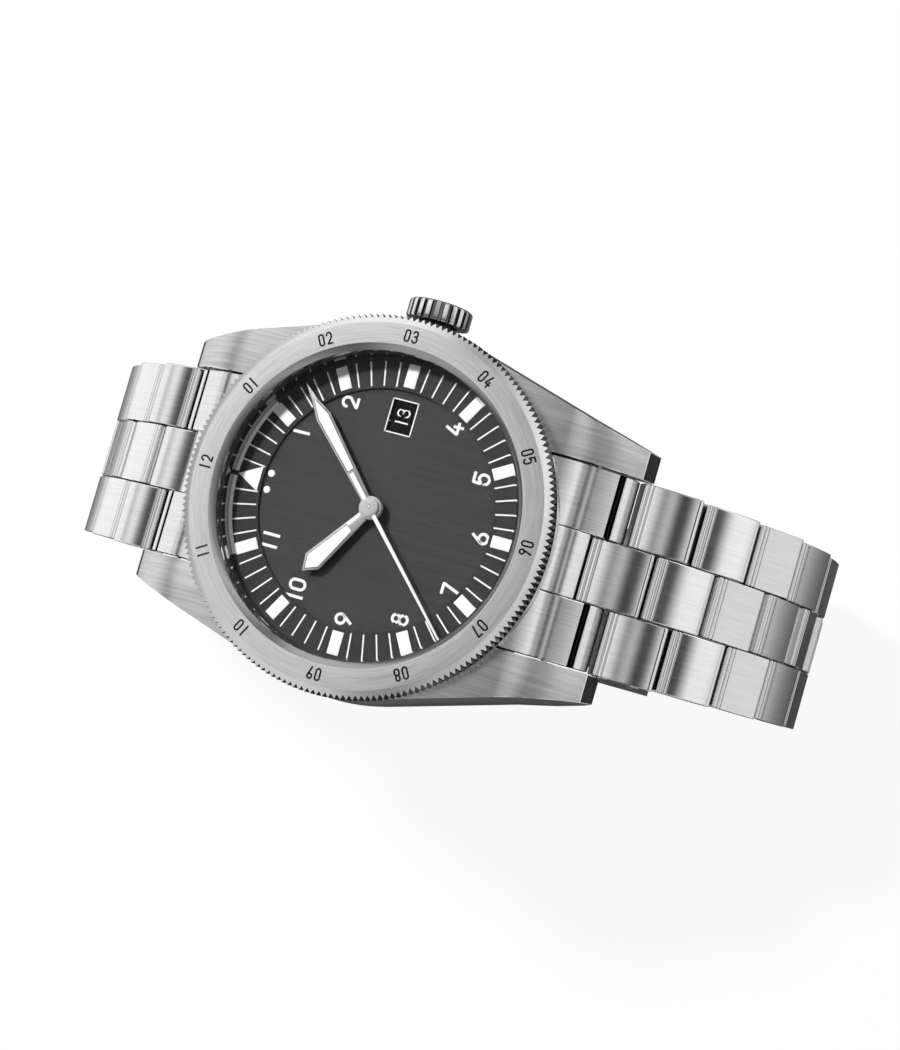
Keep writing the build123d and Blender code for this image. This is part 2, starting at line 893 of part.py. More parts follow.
with BuildPart() as train_bridge:
    washer(movement_radius, second_arbor_radius + running_gap, bridge_bottom, bridge_top)
    washer(bridge_opening, 0, bridge_bottom, bridge_top, centre=balance_place, mode=Mode.SUBTRACT)
    for place in (third_place, escape_place):
        washer(pivot_radius + running_gap, 0, bridge_bottom, bridge_top, centre=place, mode=Mode.SUBTRACT)
    washer(
        barrel_arbor_radius + running_gap,
        0,
        bridge_bottom,
        bridge_top,
        centre=barrel_place,
        mode=Mode.SUBTRACT,
    )
    washer(rotor_post_radius, second_arbor_radius + running_gap, rotor_post_low, bridge_bottom)
train_bridge.part.label = "train_bridge"
export_step(train_bridge.part, "parts/train_bridge.step")

balance_direction = degrees(atan2(balance_y, balance_x))
cock_half = balance_radius / 2

with BuildPart() as balance_cock:
    inner_end = polar(hypot(balance_x, balance_y) - cock_half, balance_direction)
    outer_end = polar(movement_radius - running_gap, balance_direction)
    beside = polar(cock_half, balance_direction + 90)
    cock_outline = [
        (inner_end[0] - beside[0] / 2, inner_end[1] - beside[1] / 2),
        (outer_end[0] - beside[0], outer_end[1] - beside[1]),
        (outer_end[0] + beside[0], outer_end[1] + beside[1]),
        (inner_end[0] + beside[0] / 2, inner_end[1] + beside[1] / 2),
    ]
    plate(cock_outline, cock_bottom, bridge_bottom)
    with BuildSketch(Plane.XY.offset(level(bridge_bottom))) as cock_foot:
        Circle(movement_radius)
        Circle(plate_rim_inner, mode=Mode.SUBTRACT)
        with BuildLine():
            Polyline(cock_outline, close=True)
        make_face(mode=Mode.INTERSECT)
        with Locations(balance_place):
            Circle(bridge_opening - running_gap, mode=Mode.INTERSECT)
    extrude(cock_foot.sketch, amount=bridge_top - bridge_bottom)
    washer(pivot_radius + running_gap, 0, cock_bottom, bridge_bottom, centre=balance_place, mode=Mode.SUBTRACT)
balance_cock.part.label = "balance_cock"
export_step(balance_cock.part, "parts/balance_cock.step")

with BuildPart() as movement_screws:
    screw_angles = (20, 100, 190, 260, 320)
    for angle in screw_angles:
        place = polar(screw_place_radius, angle)
        washer(screw_radius, 0, bridge_bottom - screw_height, bridge_bottom, centre=place)
        with BuildSketch(Plane.XY.offset(level(bridge_bottom - screw_height))) as slot:
            with Locations(place):
                Rectangle(2 * screw_radius + overrun, screw_slot)
        extrude(slot.sketch, amount=screw_height / 2, mode=Mode.SUBTRACT)
movement_screws.part.label = "movement_screws"
export_step(movement_screws.part, "parts/movement_screws.step")

# Wheel train

with BuildPart() as barrel:
    barrel_phase = meshing_phase(barrel_direction, barrel_teeth)
    toothed(barrel_teeth, barrel_module, barrel_rim_low, barrel_top, barrel_phase, barrel_place)
    washer(barrel_drum_radius, 0, barrel_low, barrel_rim_low, centre=barrel_place)
    washer(barrel_arbor_radius, 0, ratchet_low, barrel_low, centre=barrel_place)
    washer(pivot_radius, 0, barrel_top, plate_bottom + wheel_thickness, centre=barrel_place)
    toothed(
        round(2 * ratchet_radius / ratchet_module),
        ratchet_module,
        ratchet_low,
        ratchet_low + ratchet_height,
        0,
        barrel_place,
    )
barrel.part.label = "barrel"
export_step(barrel.part, "parts/barrel.step")

with BuildPart() as centre_wheel:
    toothed(centre_teeth, centre_module, centre_wheel_low, centre_wheel_low + wheel_thickness, third_direction)
    centre_pinion_top = centre_pinion_low + centre_pinion_height
    toothed(centre_pinion_teeth, barrel_module, centre_pinion_low, centre_pinion_top, barrel_direction)
    washer(centre_arbor_radius, 0, centre_pinion_low, minute_hand_top)
    toothed(cannon_teeth, motion_module, cannon_low, cannon_low + wheel_thickness, motion_direction)
    washer(
        centre_arbor_bore,
        0,
        centre_pinion_low - overrun,
        minute_hand_top + overrun,
        mode=Mode.SUBTRACT,
    )
centre_wheel.part.label = "centre_wheel"
export_step(centre_wheel.part, "parts/centre_wheel.step")

with BuildPart() as third_wheel:
    third_pinion_phase = meshing_phase(third_direction, third_pinion_teeth)
    toothed(
        third_pinion_teeth,
        centre_module,
        centre_wheel_low - pinion_overlap,
        centre_wheel_low + wheel_thickness + pinion_overlap,
        third_pinion_phase,
        third_place,
    )
    third_wheel_top = third_wheel_low + wheel_thickness
    toothed(third_teeth, third_module, third_wheel_low, third_wheel_top, third_direction + 180, third_place)
    washer(arbor_radius, 0, third_wheel_low, centre_wheel_low, centre=third_place)
    washer(pivot_radius, 0, bridge_bottom, plate_bottom + wheel_thickness, centre=third_place)
third_wheel.part.label = "third_wheel"
export_step(third_wheel.part, "parts/third_wheel.step")

with BuildPart() as fourth_wheel:
    fourth_pinion_phase = third_direction + 180 / fourth_pinion_teeth
    toothed(
        fourth_pinion_teeth,
        third_module,
        third_wheel_low - pinion_overlap,
        third_wheel_top + pinion_overlap,
        fourth_pinion_phase,
    )
    fourth_wheel_top = fourth_wheel_low + thin_wheel_thickness
    toothed(fourth_teeth, fourth_module, fourth_wheel_low, fourth_wheel_top, escape_direction)
    washer(second_arbor_radius, 0, bridge_bottom, second_hand_top)
fourth_wheel.part.label = "fourth_wheel"
export_step(fourth_wheel.part, "parts/fourth_wheel.step")

with BuildPart() as escape_wheel:
    escape_pinion_phase = meshing_phase(escape_direction, escape_pinion_teeth)
    toothed(
        escape_pinion_teeth,
        fourth_module,
        fourth_wheel_low - pinion_overlap,
        fourth_wheel_top + pinion_overlap,
        escape_pinion_phase,
        escape_place,
    )
    escape_outline = []
    for tooth in range(escape_teeth):
        step = 360 / escape_teeth
        for radius, share in ((escape_rim, 0), (escape_radius, 1 / 4), (escape_rim, 1 / 3)):
            x, y = polar(radius, (tooth + share) * step)
            escape_outline.append((escape_place[0] + x, escape_place[1] + y))
    plate(escape_outline, escape_wheel_low, escape_wheel_low + thin_wheel_thickness)
    washer(pivot_radius, 0, bridge_bottom, plate_bottom + wheel_thickness, centre=escape_place)
escape_wheel.part.label = "escape_wheel"
export_step(escape_wheel.part, "parts/escape_wheel.step")

with BuildPart() as pallet_fork:
    fork_top = escape_wheel_low + thin_wheel_thickness
    escape_offset = (escape_place[0] - fork_x, escape_place[1] - fork_y)
    fork_to_escape = hypot(*escape_offset)
    towards_escape = degrees(atan2(escape_offset[1], escape_offset[0]))
    towards_balance = degrees(atan2(balance_y - fork_y, balance_x - fork_x))
    stem_length = hypot(balance_x - fork_x, balance_y - fork_y) - roller_radius - 2 * fork_clearance
    anchor_reach = fork_to_escape - escape_radius - fork_clearance - fork_stone
    arms = (
        (towards_balance, 0, stem_length),
        (towards_escape + 90, -anchor_reach * 2, anchor_reach * 2),
        (towards_escape, 0, anchor_reach),
    )
    for direction, start, end in arms:
        corners = []
        for along, aside in ((start, -1), (end, -1), (end, 1), (start, 1)):
            x, y = polar(along, direction)
            side_x, side_y = polar(aside * fork_arm_width / 2, direction + 90)
            corners.append((fork_x + x + side_x, fork_y + y + side_y))
        plate(corners, escape_wheel_low, fork_top)
    washer(pivot_radius, 0, fork_staff_low, plate_bottom + wheel_thickness, centre=fork_place)
pallet_fork.part.label = "pallet_fork"
export_step(pallet_fork.part, "parts/pallet_fork.step")

with BuildPart() as balance_wheel:
    balance_top = balance_low + balance_height
    rim_inner = balance_radius - balance_rim
    washer(balance_radius, rim_inner, balance_low, balance_top, centre=balance_place)
    with BuildSketch(Plane.XY.offset(level(balance_low))) as spokes:
        with Locations(balance_place):
            Rectangle(2 * rim_inner + balance_rim, balance_spoke)
    extrude(spokes.sketch, amount=balance_height)
    washer(roller_radius, 0, balance_top, escape_wheel_low + wheel_thickness, centre=balance_place)
    washer(pivot_radius, 0, cock_bottom, plate_bottom + wheel_thickness, centre=balance_place)
balance_wheel.part.label = "balance_wheel"
export_step(balance_wheel.part, "parts/balance_wheel.step")

with BuildPart() as rotor:
    with BuildSketch(Plane.XY.offset(level(rotor_web_low))) as web:
        Circle(rotor_radius)
        with Locations((0, -rotor_radius / 2 - rotor_hub_radius / 2)):
            Rectangle(2 * rotor_radius, rotor_radius - rotor_hub_radius, mode=Mode.INTERSECT)
        Circle(rotor_hub_radius)
        with BuildLine():
            Polyline(
                (-rotor_hub_radius, 0),
                (rotor_hub_radius, 0),
                (rotor_radius / 2, -rotor_radius / 2),
                (-rotor_radius / 2, -rotor_radius / 2),
                close=True,
            )
        make_face()
        Circle(rotor_post_radius + running_gap, mode=Mode.SUBTRACT)
    extrude(web.sketch, amount=rotor_top - rotor_web_low)
    with BuildSketch(Plane.XY.offset(level(rotor_low))) as weight:
        Circle(rotor_radius)
        Circle(rotor_radius - rotor_rim, mode=Mode.SUBTRACT)
        with Locations((0, -rotor_radius / 2 - rotor_hub_radius / 2)):
            Rectangle(2 * rotor_radius, rotor_radius - rotor_hub_radius, mode=Mode.INTERSECT)
    extrude(weight.sketch, amount=rotor_web_low - rotor_low)
rotor.part.label = "rotor"
export_step(rotor.part, "parts/rotor.step")

with BuildPart() as hour_wheel:
    hour_phase = motion_direction + 180 / hour_teeth
    toothed(hour_teeth, motion_hour_module, hour_wheel_low, hour_wheel_low + wheel_thickness, hour_phase)
    washer(hour_pipe_radius, 0, hour_wheel_low, hour_hand_top)
    washer(hour_pipe_bore, 0, hour_wheel_low - overrun, hour_hand_top + overrun, mode=Mode.SUBTRACT)
hour_wheel.part.label = "hour_wheel"
export_step(hour_wheel.part, "parts/hour_wheel.step")

with BuildPart() as minute_wheel:
    minute_phase = meshing_phase(motion_direction, minute_teeth)
    toothed(minute_teeth, motion_module, cannon_low, cannon_low + wheel_thickness, minute_phase, motion_place)
    toothed(
        minute_pinion_teeth,
        motion_hour_module,
        cannon_low + wheel_thickness,
        hour_wheel_low + wheel_thickness,
        motion_direction + 180,
        motion_place,
    )
    washer(
        pivot_radius + running_gap,
        0,
        cannon_low,
        hour_wheel_low + wheel_thickness,
        centre=motion_place,
        mode=Mode.SUBTRACT,
    )
minute_wheel.part.label = "minute_wheel"
export_step(minute_wheel.part, "parts/minute_wheel.step")

# Bracelet


def end_link_outline(side):
    """Side view of an end link, sloping from the bezel down to the first pin."""
    shape = [
        (end_link_start, end_link_top),
        (end_link_crest_reach, end_link_crest),
        (end_link_nose_reach, end_link_nose),
        (end_link_tip, first_pin_height),
        (end_link_nose_reach, end_link_foot),
        (end_link_foot_reach, end_link_foot),
        (end_link_crest_reach, case_bottom),
        (end_link_start, case_bottom),
    ]
    return [(side * reach, level(height)) for reach, height in shape]


def make_end_link(side):
    """One end link: it fills the gap between two lugs and holds the first unit's pin."""
    pin_y = side * first_pin_reach
    pin_level = level(first_pin_height)
    with BuildPart() as end_link:
        across(end_link_outline(side), end_link_half)
        low = end_link_foot - overrun
        washer(case_radius + end_link_gap, 0, low, end_link_top + overrun, mode=Mode.SUBTRACT)
        recess_half = row_half + row_gap
        rod(end_link_recess, -recess_half, recess_half, pin_y, pin_level, Mode.SUBTRACT)
        outside = [
            (pin_y, pin_level - end_link_recess),
            (pin_y + side * link_pitch, pin_level - end_link_recess),
            (pin_y + side * link_pitch, pin_level + end_link_recess),
            (pin_y, pin_level + end_link_recess),
        ]
        across(outside, recess_half, mode=Mode.SUBTRACT)
        middle_end = side * (first_pin_reach - end_link_middle_setback)
        overhang = [
            (middle_end, pin_level),
            (pin_y + side * link_pitch, pin_level),
            (pin_y + side * link_pitch, level(end_link_top)),
            (middle_end, level(end_link_top)),
        ]
        across(overhang, recess_half, mode=Mode.SUBTRACT)
        hole = pin_radius + pin_play
        rod(hole, -end_link_half, end_link_half, pin_y, pin_level, Mode.SUBTRACT)
        bar_y = side * spring_bar_reach
        bar_hole = spring_bar_radius + pin_play
        rod(bar_hole, -end_link_half, end_link_half, bar_y, level(spring_bar_height), Mode.SUBTRACT)
    return end_link


end_link_6 = make_end_link(-1)
end_link_6.part.label = "end_link_6"
export_step(end_link_6.part, "parts/end_link_6.step")

end_link_12 = make_end_link(1)
end_link_12.part.label = "end_link_12"
export_step(end_link_12.part, "parts/end_link_12.step")

with BuildPart() as spring_bars:
    bar_level = level(spring_bar_height)
    bar_tip = lug_gap_half + spring_bar_tip_length - pin_play
    for side in (-1, 1):
        rod(spring_bar_radius, -end_link_half, end_link_half, side * spring_bar_reach, bar_level)
        rod(spring_bar_tip_radius - pin_play, -bar_tip, bar_tip, side * spring_bar_reach, bar_level)
spring_bars.part.label = "spring_bars"
export_step(spring_bars.part, "parts/spring_bars.step")


def link_outline(start, end):
    """Side view of a link between two places along its unit, bevelled at all four ends."""
    top = link_thickness / 2
    return [
        (start + link_foot_bevel, -top),
        (end - link_foot_bevel, -top),
        (end, -top + link_foot_bevel),
        (end, top - link_top_bevel),
        (end - link_top_bevel, top),
        (start + link_top_bevel, top),
        (start, top - link_top_bevel),
        (start, -top + link_foot_bevel),
    ]


def carried(plane, outline, start, end, mode=Mode.ADD):
    """Carry a side outline from one X to another, away from the middle or through it."""
    with BuildSketch(plane.offset(start)) as side_face:
        with BuildLine():
            Polyline(outline, close=True)
        make_face()
    extrude(side_face.sketch, amount=end - start, mode=mode)


def drilled(plane, radius, along, half, mode=Mode.SUBTRACT):
    """Cross hole or pin at a place along a unit, the same length on both sides."""
    with BuildSketch(plane) as hole:
        with Locations((along, 0)):
            Circle(radius)
    extrude(hole.sketch, amount=half, both=True, mode=mode)


def half_width(unit):
    """Half the bracelet's width at a unit, counted from the case."""
    return bracelet_half - unit * taper_per_link


def row_half_width(unit):
    """Half the middle row's width at a unit, which narrows as the bracelet does."""
    return row_half * half_width(unit) / bracelet_half


def make_link(side, pins, slopes, unit):
    """One bracelet unit: a middle link, a pair of outer links and two pins."""
    y, height = pins[unit]
    slope = radians(slopes[unit])
    along = (0, side * cos(slope), -sin(slope))
    plane = Plane(origin=(0, y, level(height)), x_dir=along, z_dir=(side, 0, 0))
    half = half_width(unit)
    row = row_half_width(unit)
    length = link_pitch - link_end_gap
    inner_start = -link_end_overhang
    outer_start = link_pitch / 2 - link_end_overhang
    with BuildPart() as link:
        carried(plane, link_outline(inner_start, inner_start + length), -row, row)
        for hand in (-1, 1):
            outline = link_outline(outer_start, outer_start + length)
            carried(plane, outline, hand * (row + row_gap), hand * half)
        for place in (0, link_pitch / 2, link_pitch):
            drilled(plane, pin_radius + pin_play, place, half + overrun)
        for place in (0, link_pitch / 2):
            drilled(plane, pin_radius, place, half - link_top_bevel, mode=Mode.ADD)
    return link


for side, where, pins, slopes in ((-1, "6", pins_at_6, slopes_at_6), (1, "12", pins_at_12, slopes_at_12)):
    for unit in range(len(slopes)):
        link = make_link(side, pins, slopes, unit)
        name = f"link_{where}_{unit + 1}"
        link.part.label = name
        export_step(link.part, f"parts/{name}.step")

# Clasp

cover_pin_y, cover_pin_height = pins_at_6[-1]
cover_pin_level = level(cover_pin_height)
tongue_y, tongue_height = pins_at_12[-1]
tongue_level = level(tongue_height)
cover_tongue_half = row_half_width(len(slopes_at_6))
tongue_half = row_half_width(len(slopes_at_12))
cover_start = cover_pin_y + link_end_overhang + link_end_gap
cover_end = tongue_y - clasp_end_gap
front_hinge_y = tongue_y - front_hinge_setback
back_hinge_y = cover_pin_y + back_hinge_setback
pusher_y = cover_pin_y + pusher_setback

with BuildPart() as clasp_cover_body:
    cover_profile = [
        (cover_start, 0),
        (cover_end, 0),
        (cover_end, clasp_wall_height - clasp_edge),
        (cover_end - clasp_edge, clasp_wall_height),
        (cover_start + clasp_edge, clasp_wall_height),
        (cover_start, clasp_wall_height - clasp_edge),
    ]
    across(cover_profile, clasp_half)
    inside_half = clasp_half - clasp_wall
    hollow_start = back_hinge_y - 2 * leaf_barrel_clear
    hollow = [
        (hollow_start, clasp_floor),
        (cover_end + overrun, clasp_floor),
        (cover_end + overrun, clasp_wall_height + overrun),
        (hollow_start, clasp_wall_height + overrun),
    ]
    across(hollow, inside_half, mode=Mode.SUBTRACT)
    knuckle_top = cover_pin_level + link_thickness / 2
    knuckle = [
        (cover_pin_y, cover_pin_level - link_end_overhang),
        (cover_start, clasp_floor),
        (cover_start + overrun, clasp_floor),
        (cover_start + overrun, knuckle_top),
        (cover_pin_y, knuckle_top),
    ]
    across(knuckle, cover_tongue_half)
    rod(link_end_overhang, -cover_tongue_half, cover_tongue_half, cover_pin_y, cover_pin_level)
    hole = pin_radius + pin_play
    rod(hole, -clasp_half, clasp_half, cover_pin_y, cover_pin_level, Mode.SUBTRACT)
    pusher_half_length = pusher_length / 2 + pusher_play
    pusher_half_width = pusher_width / 2 + pusher_play
    pusher_slot = [
        (pusher_y - pusher_half_length, pusher_level - pusher_half_width),
        (pusher_y + pusher_half_length, pusher_level - pusher_half_width),
        (pusher_y + pusher_half_length, pusher_level + pusher_half_width),
        (pusher_y - pusher_half_length, pusher_level + pusher_half_width),
    ]
    across(pusher_slot, clasp_half + overrun, inside_half - 2 * clasp_wall, mode=Mode.SUBTRACT)
    rod(
        leaf_pin_radius,
        -clasp_half - overrun,
        clasp_half + overrun,
        front_hinge_y,
        front_hinge_level,
        Mode.SUBTRACT,
    )
    # The floor, the walls and the block that holds the pin meet face to face, each a solid of its own.
    for wall_face in (-inside_half, inside_half):
        split(bisect_by=Plane.YZ.offset(wall_face), keep=Keep.BOTH)
    split(bisect_by=Plane.XZ.offset(-hollow_start), keep=Keep.BOTH)
with BuildPart() as clasp_cover_pins:
    rod(leaf_pin_radius - pin_play, -clasp_half, clasp_half, front_hinge_y, front_hinge_level)
    pin_end = half_width(len(slopes_at_6)) - link_top_bevel
    rod(pin_radius, -pin_end, pin_end, cover_pin_y, cover_pin_level)
cover_solids = clasp_cover_body.part.solids() + clasp_cover_pins.part.solids()
clasp_cover = Compound(label="clasp_cover", children=cover_solids)
export_step(clasp_cover, "parts/clasp_cover.step")

with BuildPart() as clasp_middle_leaf:
    barrel_half = inside_half - 2 * row_gap
    leaf_top = middle_leaf_level + leaf_thickness
    strip = [
        (back_hinge_y + leaf_barrel_clear, middle_leaf_level),
        (front_hinge_y, middle_leaf_level),
        (front_hinge_y, leaf_top),
        (back_hinge_y + leaf_barrel_clear, leaf_top),
    ]
    across(strip, leaf_half)
    neck = [
        (back_hinge_y, middle_leaf_level),
        (back_hinge_y + 2 * leaf_barrel_clear, middle_leaf_level),
        (back_hinge_y + 2 * leaf_barrel_clear, leaf_top),
        (back_hinge_y, back_hinge_level),
        (back_hinge_y - leaf_barrel_radius, back_hinge_level),
    ]
    across(neck, leaf_half, leaf_knuckle_half + row_gap)
    for hand in (-1, 1):
        inner = hand * (leaf_knuckle_half + row_gap)
        rod(leaf_barrel_radius, inner, hand * leaf_half, back_hinge_y, back_hinge_level)
    rod(leaf_barrel_radius, -barrel_half, barrel_half, front_hinge_y, front_hinge_level)
    bore = leaf_pin_radius + pin_play
    rod(bore, -clasp_half, clasp_half, front_hinge_y, front_hinge_level, Mode.SUBTRACT)
    rod(bore, -clasp_half, clasp_half, back_hinge_y, back_hinge_level, Mode.SUBTRACT)
    rod(leaf_pin_radius, -leaf_half, leaf_half, back_hinge_y, back_hinge_level)
clasp_middle_leaf.part.label = "clasp_middle_leaf"
export_step(clasp_middle_leaf.part, "parts/clasp_middle_leaf.step")

with BuildPart() as clasp_inner_leaf:
    leaf_top = inner_leaf_level + leaf_thickness
    strip = [
        (back_hinge_y + leaf_barrel_clear, inner_leaf_level),
        (front_hinge_y + leaf_barrel_clear, inner_leaf_level),
        (front_hinge_y + leaf_barrel_clear, leaf_top),
        (back_hinge_y + leaf_barrel_clear, leaf_top),
    ]
    across(strip, leaf_half)
    neck = [
        (back_hinge_y, back_hinge_level),
        (back_hinge_y + 2 * leaf_barrel_clear, inner_leaf_level),
        (back_hinge_y + 2 * leaf_barrel_clear, leaf_top),
        (back_hinge_y, leaf_top),
    ]
    across(neck, leaf_knuckle_half)
    rod(leaf_barrel_radius, -leaf_knuckle_half, leaf_knuckle_half, back_hinge_y, back_hinge_level)
    arm = [
        (front_hinge_y, inner_leaf_level),
        (tongue_y - tongue_radius, tongue_level),
        (tongue_y, tongue_level),
        (tongue_y, tongue_level + tongue_radius),
        (front_hinge_y + 2 * leaf_barrel_clear, leaf_top),
        (front_hinge_y, leaf_top),
    ]
    across(arm, tongue_half)
    rod(tongue_radius, -tongue_half, tongue_half, tongue_y, tongue_level)
    bore = leaf_pin_radius + pin_play
    rod(bore, -clasp_half, clasp_half, back_hinge_y, back_hinge_level, Mode.SUBTRACT)
    rod(bore, -clasp_half, clasp_half, tongue_y, tongue_level, Mode.SUBTRACT)
    rod(leaf_pin_radius, -tongue_half, tongue_half, tongue_y, tongue_level)
clasp_inner_leaf.part.label = "clasp_inner_leaf"
export_step(clasp_inner_leaf.part, "parts/clasp_inner_leaf.step")


def make_pusher(hand):
    """One clasp button: a bar through the cover's wall with a flange inside it."""
    with BuildPart() as pusher:
        for start, end, grow in (
            (pusher_inner, clasp_half + pusher_proud, 0),
            (pusher_inner, pusher_inner + pusher_flange, pusher_flange),
        ):
            half_length = pusher_length / 2 + grow / 2
            with BuildSketch(Plane.YZ.offset(hand * start)) as face:
                with Locations((pusher_y, pusher_level)):
                    Rectangle(2 * half_length, pusher_width)
            extrude(face.sketch, amount=hand * (end - start))
    return pusher


clasp_pusher_left = make_pusher(-1)
clasp_pusher_left.part.label = "clasp_pusher_left"
export_step(clasp_pusher_left.part, "parts/clasp_pusher_left.step")

clasp_pusher_right = make_pusher(1)
clasp_pusher_right.part.label = "clasp_pusher_right"
export_step(clasp_pusher_right.part, "parts/clasp_pusher_right.step")
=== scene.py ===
import json
from math import acos, atan2, cos, hypot, pi, radians, sin, sqrt, tan

import bmesh
import bpy
from mathutils import Matrix, Vector


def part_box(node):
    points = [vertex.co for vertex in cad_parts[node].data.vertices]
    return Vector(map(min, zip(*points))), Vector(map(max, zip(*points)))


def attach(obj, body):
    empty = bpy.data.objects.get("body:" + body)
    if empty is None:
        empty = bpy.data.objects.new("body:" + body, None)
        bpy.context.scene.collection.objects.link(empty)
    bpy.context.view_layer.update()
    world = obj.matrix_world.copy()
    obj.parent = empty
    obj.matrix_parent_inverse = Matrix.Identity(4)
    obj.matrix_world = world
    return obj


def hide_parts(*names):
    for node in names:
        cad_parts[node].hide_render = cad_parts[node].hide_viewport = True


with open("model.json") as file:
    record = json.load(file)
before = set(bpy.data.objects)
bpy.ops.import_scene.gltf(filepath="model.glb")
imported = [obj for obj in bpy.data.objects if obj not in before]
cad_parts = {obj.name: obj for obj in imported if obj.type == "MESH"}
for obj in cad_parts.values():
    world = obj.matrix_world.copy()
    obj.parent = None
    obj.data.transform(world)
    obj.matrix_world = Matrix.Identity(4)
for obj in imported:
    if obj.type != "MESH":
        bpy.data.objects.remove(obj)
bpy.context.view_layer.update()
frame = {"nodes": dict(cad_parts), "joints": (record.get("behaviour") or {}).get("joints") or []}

# Pilot's watch on its steel bracelet. Pieces are shaped in millimetres with heights measured up from
# the face of the dial's hour ring, and each one is then set into the frame, which is in metres.
mm = 0.001
dial_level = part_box("dial")[1].z / mm
into_frame = Matrix.Scale(mm, 4) @ Matrix.Translation((0, 0, dial_level))
turn = 2 * pi
round_steps = 256
smooth_angle = radians(32)


def height_of(node, end):
    """Lowest (0) or highest (1) height of a node above the dial."""
    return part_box(node)[end].z / mm - dial_level


# Places, most of them taken from the frame
bezel_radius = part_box("bezel")[1].x / mm
bezel_top = height_of("bezel", 1)
bezel_foot = height_of("bezel", 0)
case_flank = 20.6
case_low = -5.3
lug_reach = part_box("case_middle")[1].y / mm
lug_half = 13.65
lug_inner = 10.6
crystal_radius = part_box("crystal")[1].x / mm
crystal_low = height_of("crystal", 0)
crystal_high = height_of("crystal", 1)
crown_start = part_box("crown")[0].x / mm
crown_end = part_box("crown")[1].x / mm
crown_height = (height_of("crown", 0) + height_of("crown", 1)) / 2
crown_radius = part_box("crown")[1].y / mm
back_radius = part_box("case_back")[1].x / mm
back_low = height_of("case_back", 0)
ring_inner = 13.05
dial_step = 0.35
window = (8.5, 12.0)
window_half = 1.375

# Colours
steel = (0.66, 0.66, 0.665, 1)
# The lugs' steel is a darker copy of the link steel: painted shade for the lugs' dimmer reflections.
lug_steel_shaded = (0.5, 0.5, 0.505, 1)
end_steel = (0.62, 0.62, 0.625, 1)
bezel_steel = (0.61, 0.61, 0.615, 1)
# Darker grey steel for the bezel's mouth chamfer: painted shade.
mouth_shade_steel = (0.3, 0.3, 0.303, 1)
# Near black steel for the bezel's notch faces: painted shade in the notches.
notch_shade_steel = (0.045, 0.045, 0.046, 1)
# Dark steel for the crown's flutes: painted shade.
flute_shade_steel = (0.16, 0.16, 0.162, 1)
mirror_dark = (0.4, 0.4, 0.4, 1)
bright_steel = (0.7, 0.7, 0.705, 1)
hand_steel = (0.45, 0.45, 0.455, 1)
# Near black steel that stands for shade: painted shade in the notches, grooves, necks and tail where it is
# set.
shade_dark_steel = (0.03, 0.03, 0.031, 1)
dial_grey = (0.034, 0.0342, 0.0349, 1)
ring_grey = (0.0235, 0.0242, 0.0257, 1)
gloss_black = (0.004, 0.004, 0.004, 1)
# Near black polished steel for the lugs' tip faces: painted shade.
tip_shade_dark = (0.022, 0.022, 0.023, 1)
print_white = (0.86, 0.87, 0.86, 1)
arc_grey = (0.92, 0.93, 0.93, 1)
lume_white = (0.9, 0.91, 0.9, 1)
brass_yellow = (0.62, 0.46, 0.2, 1)
nickel = (0.55, 0.54, 0.51, 1)
rubber_black = (0.02, 0.02, 0.02, 1)
spacer_white = (0.6, 0.6, 0.57, 1)


# Node helpers, and the node groups that more than one finish uses


def new_group(name, inputs, outputs):
    """Empty shader node group with named sockets, and its input and output nodes."""
    group = bpy.data.node_groups.new(name, "ShaderNodeTree")
    for socket_name, kind, value in inputs:
        socket = group.interface.new_socket(socket_name, in_out="INPUT", socket_type=kind)
        socket.default_value = value
    for socket_name in outputs:
        group.interface.new_socket(socket_name, in_out="OUTPUT", socket_type="NodeSocketFloat")
    entry = group.nodes.new("NodeGroupInput")
    leave = group.nodes.new("NodeGroupOutput")
    return group, entry, leave


def calculate(tree, operation, first, second=None):
    """Math node in a tree, whose operands are sockets or numbers."""
    node = tree.nodes.new("ShaderNodeMath")
    node.operation = operation
    for place, value in enumerate((first, second)):
        if value is None:
            continue
        if isinstance(value, (int, float)):
            node.inputs[place].default_value = value
        else:
            tree.links.new(value, node.inputs[place])
    return node.outputs[0]


def noise(tree, vector, scale, detail, roughness=0.5):
    """Noise texture on a vector."""
    node = tree.nodes.new("ShaderNodeTexNoise")
    node.inputs["Scale"].default_value = scale
    node.inputs["Detail"].default_value = detail
    node.inputs["Roughness"].default_value = roughness
    tree.links.new(vector, node.inputs["Vector"])
    return node.outputs["Fac"]


def object_place(tree):
    """Place on the object, in metres."""
    return tree.nodes.new("ShaderNodeTexCoord").outputs["Object"]


def stretched(tree, vector, scale):
    """Vector multiplied by a scale, which is a socket or three numbers."""
    node = tree.nodes.new("ShaderNodeVectorMath")
    node.operation = "MULTIPLY"
    tree.links.new(vector, node.inputs[0])
    if isinstance(scale, tuple):
        node.inputs[1].default_value = scale
    else:
        tree.links.new(scale, node.inputs[1])
    return node.outputs[0]


def parts_of(tree, vector):
    """X, Y and Z of a vector."""
    node = tree.nodes.new("ShaderNodeSeparateXYZ")
    tree.links.new(vector, node.inputs[0])
    return node.outputs


def flat_distance(tree, x, y):
    """Distance from the upright axis."""
    squares = [calculate(tree, "MULTIPLY", part, part) for part in (x, y)]
    return calculate(tree, "SQRT", calculate(tree, "ADD", *squares))


def ranged(tree, value, taken, given, kind="SMOOTHSTEP"):
    """Value carried from one range to another, smoothly unless told otherwise."""
    node = tree.nodes.new("ShaderNodeMapRange")
    node.interpolation_type = kind
    for socket_name, number in zip(("From Min", "From Max", "To Min", "To Max"), taken + given):
        node.inputs[socket_name].default_value = number
    tree.links.new(value, node.inputs["Value"])
    return node.outputs[0]


def tinted(tree, colour, shade):
    """Colour multiplied by a shade."""
    node = tree.nodes.new("ShaderNodeMix")
    node.data_type = "RGBA"
    node.blend_type = "MULTIPLY"
    node.inputs["Factor"].default_value = 1.0
    node.inputs["A"].default_value = colour
    tree.links.new(shade, node.inputs["B"])
    return node.outputs["Result"]


